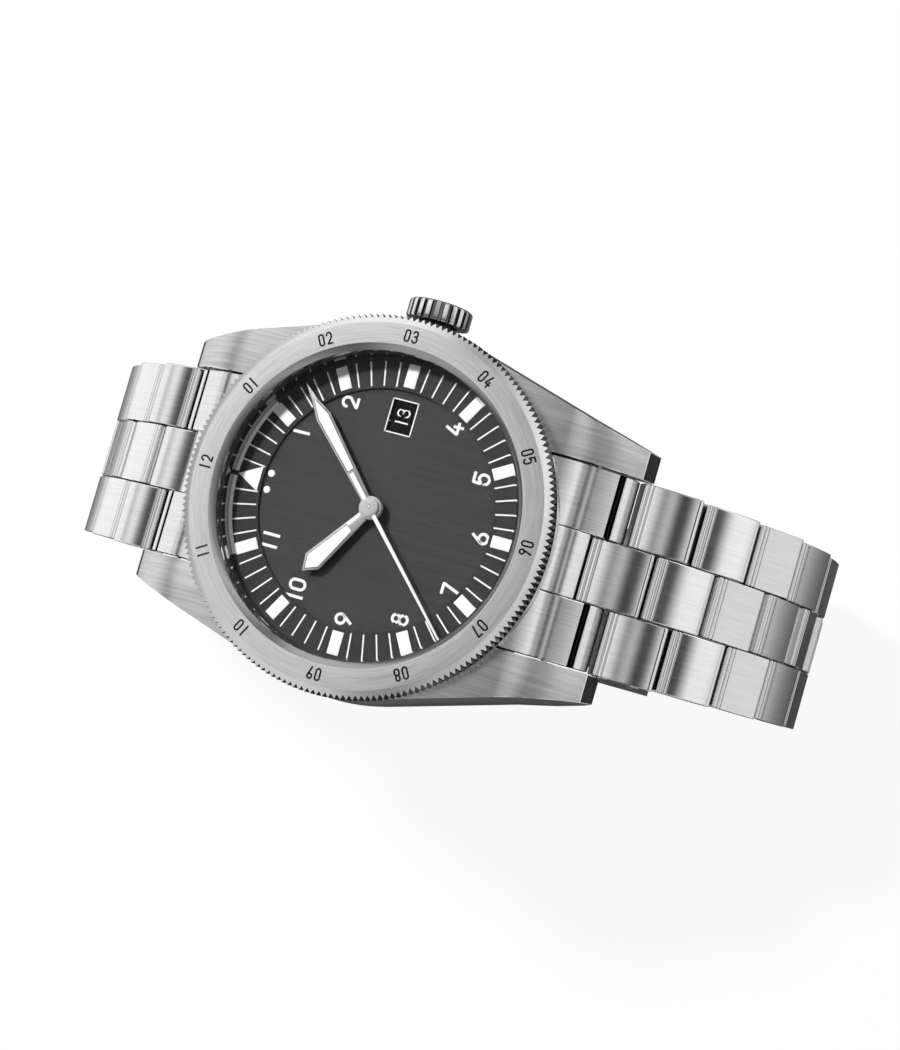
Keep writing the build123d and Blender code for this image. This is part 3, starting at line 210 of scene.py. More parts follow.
def mix_surface(tree, share, first, second):
    """Surface that goes from the first shader to the second by a share."""
    mix = tree.nodes.new("ShaderNodeMixShader")
    for place, source in enumerate((share, first.outputs[0], second.outputs[0])):
        tree.links.new(source, mix.inputs[place])
    tree.links.new(mix.outputs[0], tree.nodes["Material Output"].inputs["Surface"])


stroke_detail = 3.0
stroke_grain = 0.65
broad_scale = 160.0
broad_unevenness = 0.06
stroke_unevenness = 0.08


def brushing_outputs(tree, entry, leave, vector):
    """Finish a brushing group: strokes give the height, shade and roughness."""
    strokes = noise(tree, vector, 1.0, stroke_detail, stroke_grain)
    broad = noise(tree, object_place(tree), broad_scale, 2.0)
    centred = calculate(tree, "SUBTRACT", strokes, 0.5)
    shade = calculate(tree, "MULTIPLY", centred, entry.outputs["Contrast"])
    tree.links.new(calculate(tree, "ADD", shade, 1.0), leave.inputs["Shade"])
    uneven = calculate(tree, "MULTIPLY", calculate(tree, "SUBTRACT", broad, 0.5), broad_unevenness)
    rough = calculate(tree, "ADD", entry.outputs["Roughness"], uneven)
    rough = calculate(tree, "ADD", rough, calculate(tree, "MULTIPLY", centred, stroke_unevenness))
    tree.links.new(rough, leave.inputs["Roughness"])
    tree.links.new(strokes, leave.inputs["Height"])


brushing_inputs = (
    ("Stroke Scale", "NodeSocketVector", (1.0, 1.0, 1.0)),
    ("Contrast", "NodeSocketFloat", 0.3),
    ("Roughness", "NodeSocketFloat", 0.3),
)
brushing_results = ("Shade", "Roughness", "Height")


def make_straight_brushing():
    """Strokes along one axis: the stroke scale is fine across them and coarse along them."""
    group, entry, leave = new_group("straight_brushing", brushing_inputs, brushing_results)
    vector = stretched(group, object_place(group), entry.outputs["Stroke Scale"])
    brushing_outputs(group, entry, leave, vector)
    return group


def make_round_brushing():
    """Strokes round the dial's axis: the scale holds radius, turn and height."""
    group, entry, leave = new_group("round_brushing", brushing_inputs, brushing_results)
    x, y, z = parts_of(group, object_place(group))
    by_radius, by_turn, by_height = parts_of(group, entry.outputs["Stroke Scale"])
    radius = flat_distance(group, x, y)
    fine = calculate(group, "MULTIPLY", radius, by_radius)
    fine = calculate(group, "ADD", fine, calculate(group, "MULTIPLY", z, by_height))
    joined = group.nodes.new("ShaderNodeCombineXYZ")
    group.links.new(fine, joined.inputs[0])
    for place, part in ((1, x), (2, y)):
        share = calculate(group, "DIVIDE", part, radius)
        group.links.new(calculate(group, "MULTIPLY", share, by_turn), joined.inputs[place])
    brushing_outputs(group, entry, leave, joined.outputs[0])
    return group


smudge_scale = 260.0
hairline_scale = 5200.0
hairline_depth = 0.0004


def make_handling_marks():
    """Faint hairline scratches and smudges for polished steel."""
    inputs = (("Roughness", "NodeSocketFloat", 0.08), ("Amount", "NodeSocketFloat", 0.1))
    group, entry, leave = new_group("handling_marks", inputs, ("Roughness", "Height"))
    smudges = noise(group, object_place(group), smudge_scale, 3.0)
    hairs = noise(group, object_place(group), hairline_scale, 2.0)
    added = calculate(group, "MULTIPLY", smudges, entry.outputs["Amount"])
    rough = calculate(group, "ADD", entry.outputs["Roughness"], added)
    group.links.new(rough, leave.inputs["Roughness"])
    group.links.new(hairs, leave.inputs["Height"])
    return group


straight_brushing = make_straight_brushing()
round_brushing = make_round_brushing()
handling_marks = make_handling_marks()


# Materials


def new_material(name, metallic, **sockets):
    """Material with a Principled shader whose constant sockets are set here."""
    material = bpy.data.materials.new(name)
    material.use_nodes = True
    shader = material.node_tree.nodes["Principled BSDF"]
    shader.inputs["Metallic"].default_value = metallic
    for socket_name, value in sockets.items():
        shader.inputs[socket_name.replace("_", " ").title().replace("Ior", "IOR")].default_value = value
    return material, material.node_tree, shader


def grouped(tree, group, **sockets):
    """Node group set into a tree, with its constant sockets."""
    node = tree.nodes.new("ShaderNodeGroup")
    node.node_tree = group
    for socket_name, value in sockets.items():
        node.inputs[socket_name.replace("_", " ").title()].default_value = value
    return node


def add_bump(tree, shader, height, depth):
    """Height in a Bump node that feeds the shader's normal, with its depth in millimetres."""
    bump = tree.nodes.new("ShaderNodeBump")
    bump.inputs["Strength"].default_value = 1.0
    bump.inputs["Distance"].default_value = depth * mm
    tree.links.new(height, bump.inputs["Height"])
    tree.links.new(bump.outputs["Normal"], shader.inputs["Normal"])


def add_tangent(tree, shader, round_about):
    """Direction in which a brushed highlight spreads: outwards on round strokes, else along X."""
    to_world = tree.nodes.new("ShaderNodeVectorTransform")
    to_world.vector_type = "VECTOR"
    to_world.convert_from = "OBJECT"
    to_world.convert_to = "WORLD"
    if round_about:
        tree.links.new(stretched(tree, object_place(tree), (1, 1, 0)), to_world.inputs[0])
    else:
        to_world.inputs[0].default_value = (1, 0, 0)
    tree.links.new(to_world.outputs[0], shader.inputs["Tangent"])


def make_brushed(name, colour, group, scale, rough, contrast, depth, spread=0.75):
    """Brushed metal whose strokes come from one of the brushing groups."""
    material, tree, shader = new_material(name, 1.0, anisotropic=spread)
    strokes = grouped(tree, group, stroke_scale=scale, contrast=contrast, roughness=rough)
    tree.links.new(tinted(tree, colour, strokes.outputs["Shade"]), shader.inputs["Base Color"])
    tree.links.new(strokes.outputs["Roughness"], shader.inputs["Roughness"])
    add_bump(tree, shader, strokes.outputs["Height"], depth)
    add_tangent(tree, shader, group is round_brushing)
    return material


def make_polished(name, colour, rough, marks=0.08):
    """Polished metal with faint handling marks."""
    material, tree, shader = new_material(name, 1.0, base_color=colour)
    wear = grouped(tree, handling_marks, roughness=rough, amount=marks)
    tree.links.new(wear.outputs["Roughness"], shader.inputs["Roughness"])
    add_bump(tree, shader, wear.outputs["Height"], hairline_depth)
    return material


coat_scale = 9000.0


def make_coated(name, colour, rough, grain, depth, **sockets):
    """Paint, print, rubber or plastic with a fine grain in its shade, gloss and surface."""
    material, tree, shader = new_material(name, 0.0, **sockets)
    specks = noise(tree, object_place(tree), coat_scale, 3.0)
    shade = ranged(tree, specks, (0.0, 1.0), (1 - grain, 1 + grain), "LINEAR")
    tree.links.new(tinted(tree, colour, shade), shader.inputs["Base Color"])
    tree.links.new(calculate(tree, "MULTIPLY", shade, rough), shader.inputs["Roughness"])
    add_bump(tree, shader, specks, depth)
    return material


def make_dial_coat():
    """Dark coat over fine straight brushing, on which the hour ring is darker."""
    material, tree, shader = new_material("dial_coat", 0.0, specular_ior_level=0.25)
    strokes = grouped(
        tree, straight_brushing, stroke_scale=(5200.0, 60.0, 1.0), contrast=1.1, roughness=0.5
    )
    x, y = parts_of(tree, object_place(tree))[:2]
    on_ring = calculate(tree, "GREATER_THAN", flat_distance(tree, x, y), (ring_inner - 0.04) * mm)
    zones = tree.nodes.new("ShaderNodeMix")
    zones.data_type = "RGBA"
    zones.inputs["B"].default_value = ring_grey
    tree.links.new(on_ring, zones.inputs["Factor"])
    tree.links.new(tinted(tree, dial_grey, strokes.outputs["Shade"]), zones.inputs["A"])
    tree.links.new(zones.outputs["Result"], shader.inputs["Base Color"])
    tree.links.new(strokes.outputs["Roughness"], shader.inputs["Roughness"])
    add_bump(tree, shader, strokes.outputs["Height"], 0.0012)
    return material


def make_crystal():
    """Clear sapphire with a coating, which lets light and shadow rays straight through."""
    material, tree, shader = new_material(
        "clear_sapphire", 0.0, base_color=(1, 1, 1, 1), roughness=0.0, transmission_weight=1.0, ior=1.05
    )
    path = tree.nodes.new("ShaderNodeLightPath")
    clear = tree.nodes.new("ShaderNodeBsdfTransparent")
    either = calculate(tree, "MAXIMUM", path.outputs["Is Shadow Ray"], path.outputs["Is Diffuse Ray"])
    mix_surface(tree, either, shader, clear)
    return material


lengthwise = (4200.0, 130.0, 130.0)
sideways_fine = (9000.0, 260.0, 9000.0)
brushed_lugs = make_brushed(
    "brushed_lugs", lug_steel_shaded, straight_brushing, lengthwise,
    rough=0.36, contrast=0.9, depth=0.004, spread=0.5,
)
brushed_ends = make_brushed(
    "brushed_ends", end_steel, straight_brushing, lengthwise,
    rough=0.2, contrast=0.35, depth=0.003, spread=0.6,
)
brushed_links = make_brushed(
    "brushed_links", steel, straight_brushing, lengthwise,
    rough=0.13, contrast=0.3, depth=0.0025, spread=0.85,
)
brushed_bezel = make_brushed(
    "brushed_bezel", bezel_steel, round_brushing, (4200.0, 4.0, 0.0), rough=0.27, contrast=0.6, depth=0.003
)
brushed_back = make_brushed(
    "brushed_back", steel, round_brushing, (8000.0, 5.0, 0.0), rough=0.28, contrast=0.2, depth=0.003
)
hand_face = make_brushed(
    "hand_face", hand_steel, straight_brushing, (7000.0, 7000.0, 1.0),
    rough=0.3, contrast=0.15, depth=0.001, spread=0.2,
)
gilt_brass = make_brushed(
    "gilt_brass", brass_yellow, straight_brushing, (6000.0, 6000.0, 1.0),
    rough=0.28, contrast=0.2, depth=0.001, spread=0.3,
)
plate_nickel = make_brushed(
    "plate_nickel", nickel, straight_brushing, sideways_fine, rough=0.3, contrast=0.25, depth=0.002
)
polished_steel = make_polished("polished_steel", bright_steel, 0.06)
satin_steel = make_polished("satin_steel", steel, 0.2)
painted_shade_steel = make_polished("painted_shade_steel", shade_dark_steel, 0.2)
gloss_ring = make_polished("gloss_ring", mirror_dark, 0.03, marks=0.02)
lug_tip_painted_shade = make_polished("lug_tip_painted_shade", tip_shade_dark, 0.05)
mouth_painted_shade = make_polished("mouth_painted_shade", mouth_shade_steel, 0.14)
notch_painted_shade = make_polished("notch_painted_shade", notch_shade_steel, 0.16)
flute_painted_shade = make_polished("flute_painted_shade", flute_shade_steel, 0.2)
dial_coat = make_dial_coat()
white_print = make_coated("white_print", print_white, 0.5, 0.05, 0.001)
arc_print = make_coated("arc_print", arc_grey, 0.5, 0.06, 0.001)
lume = make_coated("lume", lume_white, 0.55, 0.06, 0.002)
# Black fill for the bezel's numbers, also laid on the case's seat as a painted shadow.
black_fill_and_painted_shadow = make_coated("black_fill_and_painted_shadow", gloss_black, 0.35, 0.2, 0.001, specular_ior_level=0.15)
date_black = make_coated("date_black", gloss_black, 0.4, 0.2, 0.0005, specular_ior_level=0.1)
seal_rubber = make_coated("seal_rubber", rubber_black, 0.6, 0.25, 0.004)
spacer_plastic = make_coated("spacer_plastic", spacer_white, 0.45, 0.05, 0.002)
crystal_glass = make_crystal()


# Shaping helpers

cut_tolerance = 0.0001
merge_distance = 0.0005
edge_hold = 0.03


def rounded(corners, closed=True, steps=4):
    """Outline of (x, y, radius) corners, with an arc at each corner that has a radius."""
    points = []
    count = len(corners)
    for place, (x, y, radius) in enumerate(corners):
        at_end = not closed and place in (0, count - 1)
        if not radius or at_end:
            points.append((x, y))
            continue
        here = Vector((x, y))
        before = (Vector(corners[place - 1][:2]) - here).normalized()
        after = (Vector(corners[(place + 1) % count][:2]) - here).normalized()
        half = before.angle(after) / 2
        centre = here + (before + after).normalized() * radius / sin(half)
        first = here + before * radius / tan(half) - centre
        last = here + after * radius / tan(half) - centre
        sweep = first.angle_signed(last)
        for step in range(steps + 1):
            spot = first.copy()
            spot.rotate(Matrix.Rotation(-sweep * step / steps, 2))
            points.append(tuple(centre + spot))
    return points


def boxed(low_x, high_x, low_y, high_y):
    """Outline of a rectangle."""
    return [(low_x, low_y), (high_x, low_y), (high_x, high_y), (low_x, high_y)]


def spun(bm, outline, steps=round_steps, closed=True, axis=(0, 0, 1), start_side=(1, 0, 0)):
    """Spin an outline of (distance from the axis, place along it) into a turned shape."""
    out = Vector(start_side)
    up = Vector(axis)
    rim = [bm.verts.new(out * radius + up * along) for radius, along in outline]
    pairs = list(zip(rim, rim[1:]))
    if closed:
        pairs.append((rim[-1], rim[0]))
    edges = [bm.edges.new(pair) for pair in pairs]
    bmesh.ops.spin(
        bm, geom=rim + edges, cent=(0, 0, 0), axis=axis, dvec=(0, 0, 0), angle=turn, steps=steps,
        use_merge=True,
    )


def drawn_out(points, rise):
    """Shape of a flat outline of points, drawn out along a direction; its normals are set later."""
    shape = bmesh.new()
    face = shape.faces.new([shape.verts.new(point) for point in points])
    raised = bmesh.ops.extrude_face_region(shape, geom=[face])["geom"]
    lifted = [v for v in raised if isinstance(v, bmesh.types.BMVert)]
    bmesh.ops.translate(shape, verts=lifted, vec=rise)
    return shape


def cut_across(shape, point, direction, **keeping):
    """Cut a shape by a plane, and return the cut's edges."""
    geom = shape.verts[:] + shape.edges[:] + shape.faces[:]
    cut = bmesh.ops.bisect_plane(
        shape, geom=geom, plane_co=point, plane_no=direction, dist=cut_tolerance, **keeping
    )
    return [e for e in cut["geom_cut"] if isinstance(e, bmesh.types.BMEdge)]


def bevel_edges(shape, edges, width):
    """Rounded bevel of two strips along edges."""
    bmesh.ops.bevel(
        shape, geom=edges, offset=width, offset_type="OFFSET", segments=2, profile=0.5,
        affect="EDGES", material=-1, clamp_overlap=True,
    )


def join_into(bm, shape):
    """Add the shape to a bmesh and free it."""
    spare = bpy.data.meshes.new("spare")
    shape.to_mesh(spare)
    shape.free()
    bm.from_mesh(spare)
    bpy.data.meshes.remove(spare)


def slab(bm, outline, low, high, matrix=Matrix.Identity(4), edge=0.0):
    """Flat outline raised between two heights, whose rims are bevelled if edge is given."""
    shape = drawn_out([(x, y, low) for x, y in outline], (0, 0, high - low))
    bmesh.ops.recalc_face_normals(shape, faces=shape.faces)
    if edge:
        rims = [e for e in shape.edges if abs(e.verts[0].co.z - e.verts[1].co.z) < edge / 100]
        bevel_edges(shape, rims, edge)
    bmesh.ops.transform(shape, matrix=matrix, verts=shape.verts)
    join_into(bm, shape)


def carried(bm, outline, half, matrix, rim=0.12, start=None):
    """Side outline carried across X from -half, or from start, to half, with chamfered end rims."""
    low = -half if start is None else start
    shape = drawn_out([(x, y, low + rim) for x, y in outline], (0, 0, half - low - 2 * rim))
    for place in (low + rim + edge_hold, half - rim - edge_hold):
        cut_across(shape, (0, 0, place), (0, 0, 1))
    bmesh.ops.recalc_face_normals(shape, faces=shape.faces)
    ends = [f for f in shape.faces if abs(f.normal.z) > 0.99]
    for inward, outward in ((rim * 0.3, rim * 0.62), (rim * 0.7, rim * 0.38)):
        bmesh.ops.inset_individual(
            shape, faces=ends, thickness=inward, depth=outward, use_even_offset=True
        )
    bmesh.ops.transform(shape, matrix=matrix, verts=shape.verts)
    join_into(bm, shape)


def finish_piece(name, bm, body, materials, choose=None, replaced=(), smooth=smooth_angle):
    """Close a millimetre bmesh, set it into the frame and let it ride on its body."""
    bmesh.ops.remove_doubles(bm, verts=bm.verts, dist=merge_distance)
    bmesh.ops.recalc_face_normals(bm, faces=bm.faces)
    if choose:
        for face in bm.faces:
            face.material_index = choose(face)
    bmesh.ops.transform(bm, matrix=into_frame, verts=bm.verts)
    mesh = bpy.data.meshes.new(name)
    bm.to_mesh(mesh)
    bm.free()
    for material in materials:
        mesh.materials.append(material)
    mesh.shade_smooth()
    mesh.set_sharp_from_angle(angle=smooth)
    piece = bpy.data.objects.new(name, mesh)
    bpy.context.scene.collection.objects.link(piece)
    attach(piece, body)
    if replaced:
        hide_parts(*replaced)


def middle_of(face):
    """Radius and height of the middle of a face."""
    centre = face.calc_center_median()
    return hypot(centre.x, centre.y), centre.z


# Numerals, as stroke paths in a cell one unit high, with a corner radius at each point


def digit_strokes(digit, wide):
    """Centre lines of one digit, half of whose width is given."""
    tall = 1.0
    ring = wide * 2
    waist = 0.54
    strokes = {
        "0": [("closed", [(-wide, 0, wide), (wide, 0, wide), (wide, tall, wide), (-wide, tall, wide)])],
        "1": [("open", [(0, 0, 0), (0, tall, 0)])],
        "2": [("open", [
            (-wide, tall - wide, 0), (-wide, tall, wide), (wide, tall, wide), (wide, waist, wide / 2),
            (-wide, 0, 0.03), (wide, 0, 0),
        ])],
        "3": [("open", [
            (-wide, tall - wide * 0.7, 0), (-wide, tall, wide * 0.9), (wide * 0.9, tall, wide * 0.9),
            (wide * 0.9, waist, wide * 0.7), (-wide * 0.2, waist, 0),
        ]), ("open", [
            (-wide * 0.2, waist, 0), (wide, waist, wide * 0.9), (wide, 0, wide), (-wide, 0, wide),
            (-wide, wide * 0.8, 0),
        ])],
        "4": [
            ("open", [(wide * 0.1, tall, 0), (-wide, 0.27, 0.03), (wide * 1.25, 0.27, 0)]),
            ("open", [(wide * 0.5, 0.52, 0), (wide * 0.5, 0, 0)]),
        ],
        "5": [("open", [
            (wide, tall, 0), (-wide * 0.85, tall, 0.03), (-wide, waist * 0.92, 0.03),
            (0, waist + 0.14, 0.12), (wide, waist + 0.04, wide * 0.8), (wide, 0, wide), (-wide, 0, wide),
            (-wide, wide * 0.7, 0),
        ])],
        "6": [
            ("closed", [(-wide, 0, wide), (wide, 0, wide), (wide, ring, wide), (-wide, ring, wide)]),
            ("open", [(wide * 0.45, tall, 0), (-wide * 0.88, wide * 1.45, 0)]),
        ],
        "7": [("open", [(-wide, tall, 0), (wide, tall, 0.03), (-wide * 0.25, 0, 0)])],
        "8": [
            ("closed", [(-wide, 0, wide), (wide, 0, wide), (wide, waist, wide), (-wide, waist, wide)]),
            ("closed", [
                (-wide * 0.85, waist, wide * 0.8), (wide * 0.85, waist, wide * 0.8),
                (wide * 0.85, tall, wide * 0.8), (-wide * 0.85, tall, wide * 0.8),
            ]),
        ],
    }
    if digit != "9":
        return strokes[digit]
    turned = []
    for kind, corners in strokes["6"]:
        turned.append((kind, [(-x, tall - y, radius) for x, y, radius in corners]))
    return turned


def reaching(corners, extra):
    """Open stroke whose two ends are drawn out by a length."""
    ends = []
    for here, inner in ((corners[0], corners[1]), (corners[-1], corners[-2])):
        spot = Vector(here[:2])
        ends.append(tuple(spot + (spot - Vector(inner[:2])).normalized() * extra) + (0,))
    return [ends[0]] + corners[1:-1] + [ends[1]]


def text_strokes(text, half, one_wide, spacing, extra):
    """Centre lines of a number, centred on the origin."""
    widths = [one_wide if digit == "1" else 2 * half for digit in text]
    cursor = -(sum(widths) + spacing * (len(text) - 1)) / 2
    strokes = []
    for digit, width in zip(text, widths):
        for kind, corners in digit_strokes(digit, half):
            moved = [(x + cursor + width / 2, y - 0.5, radius) for x, y, radius in corners]
            strokes.append((kind, reaching(moved, extra) if kind == "open" else moved))
        cursor += width + spacing
    return strokes


def drawn_number(
    bm, text, height, stroke, thickness, place, half=0.3, one_wide=0.54, spacing=0.2, steps=5
):
    """Number drawn with round-edged strokes, set in place by a matrix from its own flat frame."""
    scale = height - stroke
    curve = bpy.data.curves.new("strokes", "CURVE")
    curve.dimensions = "3D"
    curve.bevel_depth = stroke / 2
    curve.bevel_resolution = 1
    curve.use_fill_caps = True
    for kind, corners in text_strokes(text, half, one_wide, spacing, 0.45 * stroke / scale):
        path = rounded(corners, closed=kind == "closed", steps=steps)
        spline = curve.splines.new("POLY")
        spline.points.add(len(path) - 1)
        spline.use_cyclic_u = kind == "closed"
        for point, (x, y) in zip(spline.points, path):
            point.co = (x * scale, y * scale, 0, 1)
    holder = bpy.data.objects.new("strokes", curve)
    mesh = bpy.data.meshes.new_from_object(holder)
    shape = bmesh.new()
    shape.from_mesh(mesh)
    bpy.data.objects.remove(holder)
    bpy.data.curves.remove(curve)
    bpy.data.meshes.remove(mesh)
    bmesh.ops.scale(shape, vec=(1, 1, thickness / stroke), verts=shape.verts)
    bmesh.ops.transform(shape, matrix=place, verts=shape.verts)
    join_into(bm, shape)


def at_clock(radius, angle, height, spin=0.0):
    """Place at an angle from 12 o'clock, turned about its own middle by spin degrees."""
    x = radius * sin(radians(angle))
    y = radius * cos(radians(angle))
    return Matrix.Translation((x, y, height)) @ Matrix.Rotation(radians(spin), 4, "Z")


def clockwise(angle):
    """Turn about the dial's axis by an angle from 12 o'clock."""
    return Matrix.Rotation(radians(-angle), 4, "Z")


# Turning bezel

bezel_bore = 17.95
bezel_mouth = (16.5, 3.2)
bezel_mouth_edge = (16.55, 3.58)
bezel_face_inner = 17.25
bezel_face_outer = 19.5
bezel_fall = 0.12
bezel_notches = 190
bezel_root = 19.98
bezel_waist = bezel_root - 0.25
bezel_knurl_low = 1.75
bezel_knurl_high = 3.44
numeral_radius = 18.36
numeral_height = 1.42
numeral_stroke = 0.2
print_thick = 0.03


def make_bezel():
    """Brushed ring with a polished outer slope cut by V notches, and a chamfered mouth; the notch faces
    are painted near black and the mouth a darker grey, as painted shade.
    """
    slope = (bezel_top - bezel_fall - bezel_knurl_high) / (bezel_radius - bezel_face_outer)
    root_high = bezel_knurl_high + slope * (bezel_radius - bezel_root)
    outline = rounded([
        (bezel_bore, bezel_foot, 0),
        (bezel_waist, bezel_foot, 0.1),
        (bezel_waist, 1.5, 0),
        (bezel_root, bezel_knurl_low - 0.05, 0),
        (bezel_radius, bezel_knurl_low + 0.15, 0),
        (bezel_radius, bezel_knurl_high, 0),
        (bezel_root, root_high, 0),
        (bezel_face_outer, bezel_top - bezel_fall, 0.1),
        (bezel_face_inner, bezel_top, 0.06),
        (*bezel_mouth_edge, 0.05),
        (*bezel_mouth, 0),
        (bezel_bore, bezel_mouth[1], 0),
    ], steps=3)
    bm = bmesh.new()
    spun(bm, outline, steps=2 * bezel_notches)
    step = pi / bezel_notches
    for vert in bm.verts:
        radius = hypot(vert.co.x, vert.co.y)
        column = round(atan2(vert.co.y, vert.co.x) / step)
        if column % 2 and radius > bezel_root + 0.1:
            shrink = bezel_root / radius
            vert.co.x *= shrink
            vert.co.y *= shrink
            if vert.co.z > (bezel_knurl_low + bezel_knurl_high) / 2:
                vert.co.z = root_high

    def choose(face):
        radius, height = middle_of(face)
        # Notch faces on the outer slope take near black steel: painted shade.
        if radius > bezel_root + 0.02 and abs(face.normal.z) < 0.35 and height > bezel_knurl_low:
            return 2
        if face.normal.z > 0.98 and bezel_face_inner < radius < bezel_face_outer:
            return 0
        # Faces inside the brushed face take the darker mouth steel: painted shade.
        return 3 if radius < bezel_face_inner else 1

    finish_piece(
        "bezel_ring", bm, "bezel", [brushed_bezel, satin_steel, notch_painted_shade, mouth_painted_shade],
        choose, replaced=["bezel"], smooth=radians(25),
    )
    numbers = bmesh.new()
    face_width = bezel_face_outer - bezel_face_inner
    tilt = Matrix.Rotation(-atan2(bezel_fall, face_width), 4, "X")
    height = bezel_top - bezel_fall * (numeral_radius - bezel_face_inner) / face_width
    for hour in range(1, 13):
        place = at_clock(numeral_radius, 30 * hour, height, -30 * hour) @ tilt
        drawn_number(
            numbers, f"{hour:02d}", numeral_height, numeral_stroke, print_thick, place,
            half=0.2, one_wide=0.38, spacing=0.32,
        )
    finish_piece("bezel_numbers", numbers, "bezel", [black_fill_and_painted_shadow])


# Case

case_bore = 15.6
seat_high = 1.0
neck_outer = 17.9
neck_inner = 16.85
neck_high = 3.1
dial_seat = -0.6
lug_start = 5.5
lug_high = 0.95
lug_shoulder = (18.2, lug_high)
lug_bend = (22.1, -0.8)
lug_tip = (26.1, -4.7)
lug_low = -6.93
lug_curve_steps = 14
lug_stock = 10.5
lug_merge = 0.12
lug_bevel = 0.14
flank_lean = 0.07
lug_corner = 26.35
ring_cut = (10.6, 14.2)
ring_cut_facing = (0.69, 0.724)


def lug_side():
    """Side outline (y, height) of a lug, curved down from the case to its cut-off tip."""
    side = [(lug_start, lug_high)]
    first, middle, last = Vector(lug_shoulder), Vector(lug_bend), Vector(lug_tip)
    control = middle * 2 - (first + last) / 2
    for step in range(lug_curve_steps + 1):
        share = step / lug_curve_steps
        spot = first * (1 - share) ** 2 + control * 2 * share * (1 - share) + last * share**2
        side.append(tuple(spot))
    return side + [
        (lug_reach, -6.35), (lug_tip[0], lug_low), (23.3, lug_low), (19.6, case_low),
        (lug_start, case_low),
    ]


def make_lug(bm, x_hand, y_hand):
    """One lug: its side outline carried outwards, then cut along the flank and behind the case ring."""
    shape = drawn_out([(lug_inner, y, z) for y, z in lug_side()], (lug_stock, 0, 0))
    bmesh.ops.recalc_face_normals(shape, faces=shape.faces)
    reach = hypot(lug_half, lug_corner)
    turned = atan2(lug_corner, lug_half) - acos(case_flank / reach)
    flank = Vector((cos(turned), sin(turned), 0))
    leaning = flank + Vector((0, 0, flank_lean))
    foot = flank * case_flank + Vector((0, 0, case_low))
    behind = Vector((-ring_cut_facing[0], -ring_cut_facing[1], 0))
    for point, direction in ((foot, leaning), (Vector((*ring_cut, 0)), behind)):
        open_edges = cut_across(shape, point, direction, clear_outer=True)
        bmesh.ops.contextual_create(shape, geom=open_edges)
    bmesh.ops.remove_doubles(shape, verts=shape.verts, dist=lug_merge)
    bmesh.ops.recalc_face_normals(shape, faces=shape.faces)
    sharp = []
    for edge in shape.edges:
        at_tip = max(vert.co.z for vert in edge.verts) < lug_tip[1] + 0.1
        if len(edge.link_faces) == 2 and edge.calc_face_angle() > radians(7 if at_tip else 25):
            if edge.calc_length() > 0.05:
                sharp.append(edge)
    bevel_edges(shape, sharp, lug_bevel)
    bmesh.ops.scale(shape, vec=(x_hand, y_hand, 1), verts=shape.verts)
    join_into(bm, shape)


def make_case():
    """Case ring, polished with a black seat under the bezel that is a painted shadow of the gap, and four
    lugs brushed on top.
    """
    ring = bmesh.new()
    spun(ring, rounded([
        (case_bore, case_low, 0.1),
        (case_flank, case_low, 0.2),
        (case_flank - flank_lean * (seat_high - case_low), seat_high, 0.2),
        (neck_outer, seat_high, 0),
        (neck_outer, neck_high, 0.05),
        (neck_inner, neck_high, 0),
        (neck_inner, dial_seat, 0),
        (case_bore, dial_seat, 0),
    ]))

    def choose_ring(face):
        radius, height = middle_of(face)
        # The seat under the bezel is black: painted shadow of the gap.
        return 1 if height > seat_high - 0.1 and radius < case_flank - 0.4 else 0

    finish_piece(
        "case_ring", ring, "case", [polished_steel, black_fill_and_painted_shadow],
        choose_ring, replaced=["case_middle"], smooth=radians(28),
    )
    lugs = bmesh.new()
    for x_hand in (-1, 1):
        for y_hand in (-1, 1):
            make_lug(lugs, x_hand, y_hand)

    def choose_lug(face):
        if face.calc_area() < 0.55:
            return 1
        # Tip end faces take near black steel: painted shade.
        if face.calc_center_median().z < lug_tip[1] and abs(face.normal.y) > 0.8:
            return 2
        return 0 if face.normal.z > 0.3 else 1

    finish_piece(
        "case_lugs", lugs, "case", [brushed_lugs, polished_steel, lug_tip_painted_shade], choose_lug,
        replaced=["case_middle"], smooth=radians(28),
    )


back_grooves = (9.0, 13.4)
back_groove_side = ((0.0, 0.0), (0.1, 0.12), (0.5, 0.12), (0.6, 0.0))
back_shoulder = 0.75


def make_case_back():
    """Screwed back with six key notches, turned grooves and a polished rim; the notches are near black
    blocks, painted shade in their hollows.
    """
    bm = bmesh.new()
    outline = [(0.0, back_low, 0)]
    for start in back_grooves:
        outline += [(start + along, back_low + depth, 0.02) for along, depth in back_groove_side]
    outline += [
        (back_radius - back_shoulder, back_low, 0.3), (back_radius, back_low + back_shoulder, 0.2),
        (back_radius, case_low, 0), (15.5, case_low, 0), (15.5, -4.5, 0), (14.7, -4.5, 0),
        (14.7, -5.5, 0), (0.0, -5.5, 0),
    ]
    spun(bm, rounded(outline, steps=3), closed=False, steps=180)
    notches = bmesh.new()
    notch = rounded([(-0.55, -1.5, 0.5), (0.3, -1.5, 0.1), (0.3, 1.5, 0.1), (-0.55, 1.5, 0.5)])
    for angle in range(0, 360, 60):
        place = at_clock(back_radius - 0.25, 90 - angle, back_low + 0.35, angle)
        slab(notches, notch, -0.36, 0.0, place, edge=0.05)

    def choose(face):
        return 0 if face.normal.z < -0.9 and middle_of(face)[0] < back_radius - 0.8 else 1

    finish_piece(
        "back_cover", bm, "case", [brushed_back, polished_steel], choose,
        replaced=["case_back"],
    )
    # Near black notch blocks: painted shade.
    finish_piece("back_notches", notches, "case", [painted_shade_steel])


# Crystal, inner ring and dial

crystal_edge = 3.6
crystal_chamfer = 0.15
crystal_rings = 24


